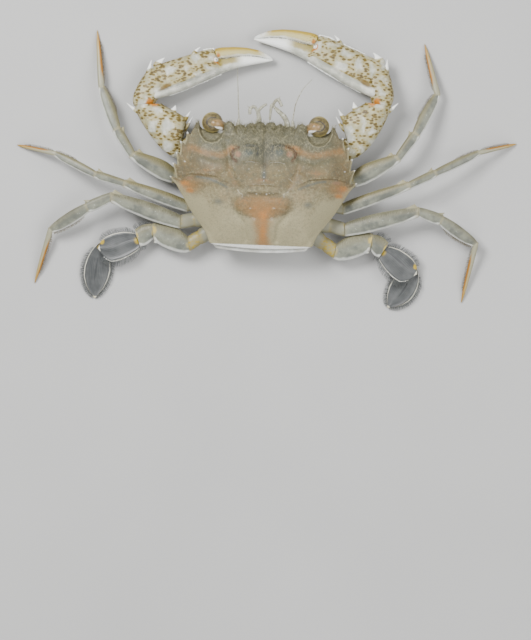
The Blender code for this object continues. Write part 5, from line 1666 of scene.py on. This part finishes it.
def coxa(limb, side_name):
    """A limb's base article, from under the shell to the limb's root."""
    half = COXAE[limb][3]
    inner = coxa_root(limb, side_name)
    points = limb_points(limb, side_name)
    outer = claw_coxa_end(side_name) if limb == "claw" else points[0]
    ways, leans = joint_tangents([inner, outer, points[1]])
    length = (outer - inner).length
    thick = min(half * 0.85, 2.3)
    if limb == "claw":
        last, end_thick = CLAW_ISCHIUM[0][1], thick * 0.9
    elif limb == "swimming_leg":
        last, end_thick = 1.7, 1.35
    else:
        last = WALKING_SHAPES[limb]["merus"][0][0]
        end_thick = last * 0.75
    rows = [(place, half * size, half * size, thick * rise) for place, size, rise in (
        (0.0, 0.9, 1.0), (0.3, 1.0, 1.0), (0.52, 0.9, 0.92), (0.58, 0.74, 0.75))]
    rows += [(place, last * size, last * size, end_thick) for place, size in (
        (0.64, 1.04), (0.85, 1.08), (1.0, 1.0))]
    rings = jointed_rings(rows, length)
    piece = grow(f"base_{limb}_{side_name}", rings, oval(0.95), 14)
    ends = (0.0, 0.0 if limb == "claw" else leans[0][1])
    _, place, across, up = finish_article(
        piece, rings, length, ends, inner, ways[0], SIDES[side_name])
    joint = bell(place - 0.6, 0.06) + bell(place - 1.0, 0.07)
    speckled = smooth_step(place, 0.2, 0.6) * (0.85 if limb == "swimming_leg" else 0.3)
    mark(piece, seam=joint * 0.5, yellow=joint * 0.3 * smooth_step(up, -0.6, 0.2) + speckled,
         upper=smooth_step(up, -0.5, 0.3))
    hand_over(piece, "belly", "belly")


PLATE_THICKNESS = 1.4
PLATE_EDGE = 0.35
SEAM_TELSON = -1.7
SEAM_SIX = -8.2
SEAM_FIVE = -13.0
SEAM_FOUR = -15.2
TELSON_TIP = 0.8
TELSON_HALF = 2.7
SIX_HALF = 12.0
FIVE_HALF = 13.6
FOUR_HALF = 12.4


def divided(outline, count=None):
    """A closed outline with more points along its sides, 0.8 mm apart if no count is given."""
    dense = []
    for (ax, ay), (bx, by) in zip(outline, [*outline[1:], outline[0]]):
        steps = count or max(2, round(math.hypot(bx - ax, by - ay) / 0.8))
        dense += [(ax + (bx - ax) * i / steps, ay + (by - ay) * i / steps) for i in range(steps)]
    return dense


def plate(name, half, relief):
    """A belly plate cut from a disc, raised and bevelled, with a swollen lower face."""
    dense = divided(list(half) + [(-x, y) for x, y in reversed(half) if x > 0])
    piece = start_outline(f"shaped_{name}", dense, lambda co: -math.atan2(co.y, co.x),
                          lambda x, y: (x, y, PLATE_THICKNESS))
    bpy.ops.mesh.extrude_region_move(
        TRANSFORM_OT_translate={"value": (0, 0, PLATE_EDGE - PLATE_THICKNESS)})
    wide, long = [(max(column) - min(column)) / 2 for column in zip(*dense)]
    middle = [(max(column) + min(column)) / 2 for column in zip(*dense)]
    centre = Vector((*middle, PLATE_EDGE))
    inset, drop = 0.0, PLATE_EDGE
    for margin, height in ((0.3, 0.15), (0.7, 0.05), (1.4, 0.05), (2.2, 0.05)):
        narrower = (wide - margin) / (wide - inset)
        shorter = ((long - margin) / (long - inset) if long > margin + 0.4 else
                   (long - margin * long / wide) / (long - inset * long / wide))
        centre = draw_out((0, 0, height - drop), (narrower, shorter, 1.0), centre)
        inset, drop = margin, height
    for size in (0.75, 0.66, 0.5, 0.3):
        centre = draw_out((0, 0, 0), (size, size, 1.0), centre)
    turn_outwards()
    points = close_piece(piece, 1)
    x, y, z = points.T
    low = smooth_step(z, 0.9, 0.3)
    rise, slate = relief(x, y)
    points[:, 2] = np.maximum(z + rise * low, 0.02)
    put_points(piece, points)
    rim = smooth_step(points[:, 2], 0.2, 0.5) * low
    mark(piece, seam=rim * 0.4 + smooth_step(rise, 0.12, 0.4), slate=slate)
    to_metres(piece)
    hand_over(piece, "belly", "belly", name)


# How far each plate stands out at a place, and how slate grey it is there


def telson_relief(x, y):
    return 0.3 * bell(x, 0.5) * smooth_step(y, 0.4, -0.6), bell(x, 0.7)


def six_relief(x, y):
    middle = bell(x, 0.7) * smooth_step(y, -7.4, -3.4)
    return 0.35 * middle, middle * 0.9


def five_relief(x, y):
    return 0.2 * bell(y + 10.2, 0.4) * smooth_step(np.abs(x), 13.0, 10.0), 0.3 * bell(x, 1.2)


def four_relief(x, y):
    return 0.15 * bell(y + 14.1, 0.3), 0.0


def belly_flap():
    half_gap = GAP / 2
    plate("telson", (
        (TELSON_HALF, SEAM_TELSON + half_gap), (1.9, SEAM_TELSON + 1.3), (0.9, SEAM_TELSON + 2.2),
        (0.0, TELSON_TIP)), telson_relief)
    arc = []
    for turn in np.linspace(0, math.pi / 2, 14):
        arc.append((TELSON_HALF + (SIX_HALF - TELSON_HALF) * math.cos(turn),
                    SEAM_SIX + half_gap + (SEAM_TELSON - SEAM_SIX - GAP) * math.sin(turn) ** 0.9))
    plate("somite_6", arc, six_relief)
    plate("somite_5", (
        (FOUR_HALF + 0.7, SEAM_FIVE + half_gap), (FIVE_HALF, SEAM_FIVE + 1.6),
        (FIVE_HALF, SEAM_SIX - 1.6), (SIX_HALF + 0.5, SEAM_SIX - half_gap)), five_relief)
    plate("somite_4", (
        (FOUR_HALF - 1.4, SEAM_FOUR + half_gap), (FOUR_HALF, SEAM_FOUR + 0.9),
        (FOUR_HALF + 0.4, SEAM_FIVE - half_gap)), four_relief)


# The rear fold's keels: height and place behind, from the floor up to the shell's rear edge
REAR_PROFILE = (
    (-15.35, 0.2), (-16.2, 0.25), (-16.9, 0.7), (-17.15, 1.5), (-17.05, 2.2), (-17.35, 2.7),
    (-17.65, 3.4), (-17.6, 4.3), (-17.4, 4.7), (-17.75, 5.2), (-17.95, 6), (-17.85, 6.8),
    (-17.6, 7.2), (-17.95, 7.6), (-18.15, 8.2), (-18, 8.75), (-17.5, 8.95), (-17.1, 8.6),
    (-16.8, 7.6), (-15, 7.1), (-14.8, 3), (-15.3, 1.4),
)
REAR_HALF = 12.7
REAR_BOW = 1.0
REAR_STEPS = 26


def rear_fold():
    """The first three somites behind the thorax: a profile drawn across with rounded keels."""
    piece = start_outline("shaped_rear_fold", REAR_PROFILE, lambda co: math.atan2(co.z, co.y),
                          lambda y, z: (-REAR_HALF + 0.5, y, z), rotation=(0, math.pi / 2, 0))
    for _ in range(REAR_STEPS):
        bpy.ops.mesh.extrude_region_move(
            TRANSFORM_OT_translate={"value": ((2 * REAR_HALF - 1) / REAR_STEPS, 0, 0)})
    turn_outwards()
    points = close_piece(piece, 1)
    x, y, z = points.T
    share = np.abs(x) / REAR_HALF
    behind = smooth_step(y, -14.8, -16.6)
    mark(piece, seam=sum(bell(z - height, 0.3) for height in (2.2, 4.6, 7.2)) * behind)
    points[:, 1] += (REAR_BOW * share ** 2 + smooth_step(share, 0.86, 1.0) * 1.1) * behind
    points[:, 0] *= 1 - 0.14 * smooth_step(z, 8.0, 2.0)
    put_points(piece, points)
    to_metres(piece)
    hand_over(piece, "belly", "belly", "somites_1_3")


# Eyes, feelers and mouthparts

EYE_CENTRE = (13.3, 13.9, 10.7)
EYE_RADIUS = 2.6
STALK_ROOT = (9.2, FRONT_WALL + 0.6, 9.6)
STALK_RINGS = (
    (0, 0.8, 0.9, 0.8, 0), (0.5, 1, 1.1, 1, 0.2), (1.2, 1.05, 1.3, 1.2, 1),
    (1.9, 1.1, 1.5, 1.4, 1.7), (2.6, 1.15, 1.6, 1.35, 2.2), (3.3, 1.1, 1.5, 1.1, 2.55),
    (3.9, 0.95, 1.25, 0.9, 2.7), (4.4, 0.7, 0.9, 0.6, 2.75), (4.7, 0.35, 0.4, 0.3, 2.7),
)


def eye(side_name):
    """The cornea, a ball that the stalk's tongue overlies from within."""
    side = SIDES[side_name]
    deselect()
    bpy.ops.mesh.primitive_uv_sphere_add(segments=48, ring_count=32, radius=EYE_RADIUS)
    piece = bpy.context.object
    piece.name = f"shaped_eye_{side_name}"
    points = points_of(piece)
    x, y, z = points.T / EYE_RADIUS
    away = np.hypot(np.maximum(x - 0.05, 0), y * 1.05)
    points[:, 2] -= 0.4 * smooth_step(away, 0.5, 0.2) * (z > 0)
    put_points(piece, points)
    ring = smooth_step(away, 0.54, 0.5) * smooth_step(away, 0.38, 0.46) * (z > 0)
    # outer: the straw outer edge, partly painted light that lifts the ball's shaded rim
    mark(piece, inner=ring * smooth_step(x, -0.6, -0.2),
         outer=smooth_step(away, 0.8, 1.0) * (z > -0.3))
    stand(piece, side, *EYE_CENTRE)
    hand_over(piece, "cornea", "eye", f"eye_{side_name}")
    stalk, points = grown(f"shaped_stalk_{side_name}", STALK_RINGS, oval(1.0), 16, 2)
    points[:, 1] += smooth_step(points[:, 0], 0.0, 2.8)
    put_points(stalk, points)
    mark(stalk, pale=smooth_step(points[:, 1], 0.4, -0.3) * smooth_step(points[:, 0], 0.8, 2.2))
    stand(stalk, side, *STALK_ROOT)
    hand_over(stalk, "stalk", "eye", f"eyestalk_{side_name}")


ANTENNA_ROOT = (6.9, FRONT_WALL + 0.3, 9.6)
ANTENNA_PATHS = {
    "left": ((6.9, 12.9, 9.6), (6.7, 15.2, 10.2), (7, 18.8, 11.6), (7.23, 22.4, 12.9),
             (7.45, 25.4, 13.6), (7.57, 27.9, 13.9)),
    "right": ((6.9, 12.9, 9.6), (6.7, 15.2, 10.2), (7, 17.5, 11), (7.37, 19.5, 11.8),
              (8.93, 23, 12.9), (11.18, 25.6, 13.6)),
}
ANTENNULE_BASES = {
    "left": ((2.5, 12.5, 9.5), (1.7, 14.8, 10), (2.1, 17.4, 11)),
    "right": ((5.6, 12.6, 9.5), (4.8, 15.6, 10.3), (2, 18.3, 11.2)),
}
ANTENNULE_RODS = {
    "left": (((2.1, 17, 11), (1.1, 18.2, 11.9), (-0.1, 19, 12.5)),
             ((2, 16.9, 11), (3, 18.2, 11.9), (4, 17.6, 12.2), (4, 16.3, 11.7)),
             ((3.8, 17.4, 12.1), (4.3, 18, 12.4), (4.75, 18.4, 12.5))),
    "right": (((2.2, 18.1, 11.2), (1.4, 18.9, 11.7), (1.1, 17, 11), (1, 15.1, 10.2)),
              ((1.5, 18.6, 11.5), (2.2, 19.8, 12.2), (3, 20.1, 12.6), (3.9, 18.5, 12.5)),
              ((2.9, 19.8, 12.5), (3.1, 20.5, 12.7), (3.35, 21.1, 12.8))),
}
ANTENNULE_RADII = (
    (0.4, 0.44, 0.4, 0.3), (0.4, 0.42, 0.5, 0.42), (0.3, 0.2, 0.12, 0.06),
)


def bent_tube(name, path, radii, joints, side, swell=0.12):
    """A jointed tube grown straight and then bent along a path on the body."""
    line = np.array(spline(path, 10))
    steps = run_along(line)
    length = steps[-1]
    rings = []
    for i in range(joints):
        for within, size in ((0.04, 1.0 - swell), (0.2, 1.0), (0.8, 1.0 + swell * 0.4)):
            share = (i + within) / joints
            radius = float(np.interp(share, np.linspace(0, 1, len(radii)), radii)) * size
            rings.append((share * length, radius, radius, radius, 0.0))
    rings.append((length, radii[-1] * 0.5, radii[-1] * 0.5, radii[-1] * 0.5, 0.0))
    piece, points = grown(name, rings, oval(1.0), 8, 1)
    mark(piece, place=points[:, 0] / length)
    at = np.clip(points[:, 0], 0, length)
    way = unit(read_line(np.minimum(at + 0.3, length), steps, line)
               - read_line(np.maximum(at - 0.3, 0), steps, line))
    across = unit(np.cross((0.0, 0.0, 1.0), way))
    placed = read_line(at, steps, line) + across * points[:, 1:2]
    placed += np.cross(way, across) * points[:, 2:3]
    placed[:, 0] *= side
    put_points(piece, placed)
    if side < 0:
        piece.data.flip_normals()
    to_metres(piece)
    return piece


def feelers(side_name):
    side = SIDES[side_name]
    first, second, *rest = ANTENNA_PATHS[side_name]
    long = [bent_tube("stem", (ANTENNA_ROOT, first, second), (0.85, 0.7, 0.5, 0.3), 3, side, 0.18),
            bent_tube("lash", (second, *rest), (0.17, 0.14, 0.11, 0.07), 34, side)]
    short = [bent_tube("stem", ANTENNULE_BASES[side_name], (0.95, 0.8, 0.68, 0.46), 3, side, 0.2)]
    for rod, radii in zip(ANTENNULE_RODS[side_name], ANTENNULE_RADII):
        short.append(bent_tube("lash", rod, radii, 9, side, 0.16))
    for name, parts in (("antenna", long), ("antennule", short)):
        hand_over(join(parts, f"shaped_{name}_{side_name}"), "feeler", "feeler",
                  f"{name}_{side_name}")


MOUTH_OUTLINE = (
    (0.3, 0.1), (3.6, 0.1), (4.3, 1.2), (4.4, 3.6), (4.6, 4.6), (3.6, 6), (2, 6.3), (0.8, 5.4),
    (0.3, 4),
)


def maxilliped(side_name):
    """The outer mouthpart: a grooved plate on the slope below the front."""
    low, high = [Vector((0.0, y, z)) for y, _, z in THORAX_STATIONS[-2:]]
    slope = (high - low).normalized()
    down = Vector((0.0, slope.z, -slope.y))
    piece = start_outline(
        f"shaped_maxilliped_{side_name}", divided(MOUTH_OUTLINE, 4),
        lambda co: math.atan2(co.y, co.x), lambda x, y: (x, y, 0.0))
    bpy.ops.mesh.extrude_region_move(TRANSFORM_OT_translate={"value": (0, 0, 0.85)})
    for thick, rise in ((0.2, 0.22), (0.3, 0.12), (0.5, 0.05)):
        bpy.ops.mesh.inset(thickness=thick)
        bpy.ops.transform.translate(value=(0, 0, rise))
    turn_outwards()
    points = close_piece(piece, 2)
    x, y, z = points.T
    groove = np.maximum(bell(x - 1.6 - 0.1 * y, 0.25) * smooth_step(y, 4.6, 4.0),
                        bell(y - 4.35 - 0.1 * x, 0.18))
    mark(piece, seam=groove * 0.7, yellow=smooth_step(x, 0.7, 0.3))
    points[:, 2] -= groove * 0.3 * smooth_step(z, 0.7, 1.1)
    put_points(piece, points)
    settle(piece, on_body(*low) + down * 0.3, (SIDES[side_name], 0, 0), slope, down)
    hand_over(piece, "belly", "belly", f"maxilliped_{side_name}")


# The camera looks straight down; the picture's middle, its height on the floor and its roll
VIEW_CENTRE = (1.92, -29.8)
VIEW_HEIGHT = 160.0
VIEW_ROLL = 2.3
CAMERA_LENS = 600.0
SENSOR_HEIGHT = 24.0
# Lamps: place, size and power
LIGHTS = {
    "key_light": ((-0.25, 0.22, 0.42), 0.2, 4.7),
    "fill_light": ((0.32, 0.05, 0.4), 0.4, 2.5),
    "rear_light": ((0.02, -0.4, 0.38), 0.4, 1.5),
}


def stage_and_light():
    """A pale floor, soft studio light and the camera straight above."""
    scene = bpy.context.scene
    deselect()
    bpy.ops.mesh.primitive_plane_add(size=1.6, location=(0, 0, 0))
    floor = bpy.context.object
    floor.name = "studio_floor"
    floor.data.materials.append(floor_finish())
    for name, (place, size, power) in LIGHTS.items():
        lamp = bpy.data.lights.new(name, "AREA")
        lamp.energy = power
        lamp.size = size
        light = bpy.data.objects.new(name, lamp)
        light.location = place
        light.rotation_euler = (-Vector(place)).to_track_quat("-Z", "Y").to_euler()
        scene.collection.objects.link(light)
    scene.world = scene.world or bpy.data.worlds.new("studio")
    scene.world.use_nodes = True
    background = scene.world.node_tree.nodes["Background"]
    background.inputs["Color"].default_value = (1, 1, 1, 1)
    background.inputs["Strength"].default_value = 0.25
    lens = bpy.data.cameras.new("camera_above")
    lens.lens = CAMERA_LENS
    lens.sensor_fit = "VERTICAL"
    lens.sensor_height = SENSOR_HEIGHT
    lens.clip_start = 0.01
    lens.clip_end = 10
    camera = bpy.data.objects.new("camera_above", lens)
    distance = VIEW_HEIGHT * CAMERA_LENS / SENSOR_HEIGHT
    camera.location = Vector((*VIEW_CENTRE, distance)) * MM
    camera.rotation_euler = (0, 0, math.radians(VIEW_ROLL))
    scene.collection.objects.link(camera)
    scene.camera = camera


FINISHES = {
    "shell": shell_finish(),
    "claw": claw_finish(),
    "finger": finger_finish(),
    "leg": leg_finish(),
    "tip": tip_finish(),
    "paddle": paddle_finish(),
    "belly": belly_finish(),
    "cornea": cornea_finish(),
    "stalk": stalk_finish(),
    "feeler": feeler_finish(),
    "leg_fringe": seta_finish("leg_setae", paint(132, 114, 78), paint(162, 148, 118)),
    "paddle_fringe": seta_finish("paddle_setae", paint(128, 131, 131), paint(140, 143, 142)),
    "front_fuzz": seta_finish("front_setae", paint(150, 145, 116), paint(186, 180, 150)),
    "teeth": teeth_finish(),
}

stage_and_light()
carapace()
thorax()
belly_flap()
rear_fold()
for side_label in SIDES:
    eye(side_label)
    feelers(side_label)
    maxilliped(side_label)
    for leg in WALKING_SHAPES:
        walking_leg(leg, side_label)
    swimming_leg(side_label)
    claw(side_label)
fringes()
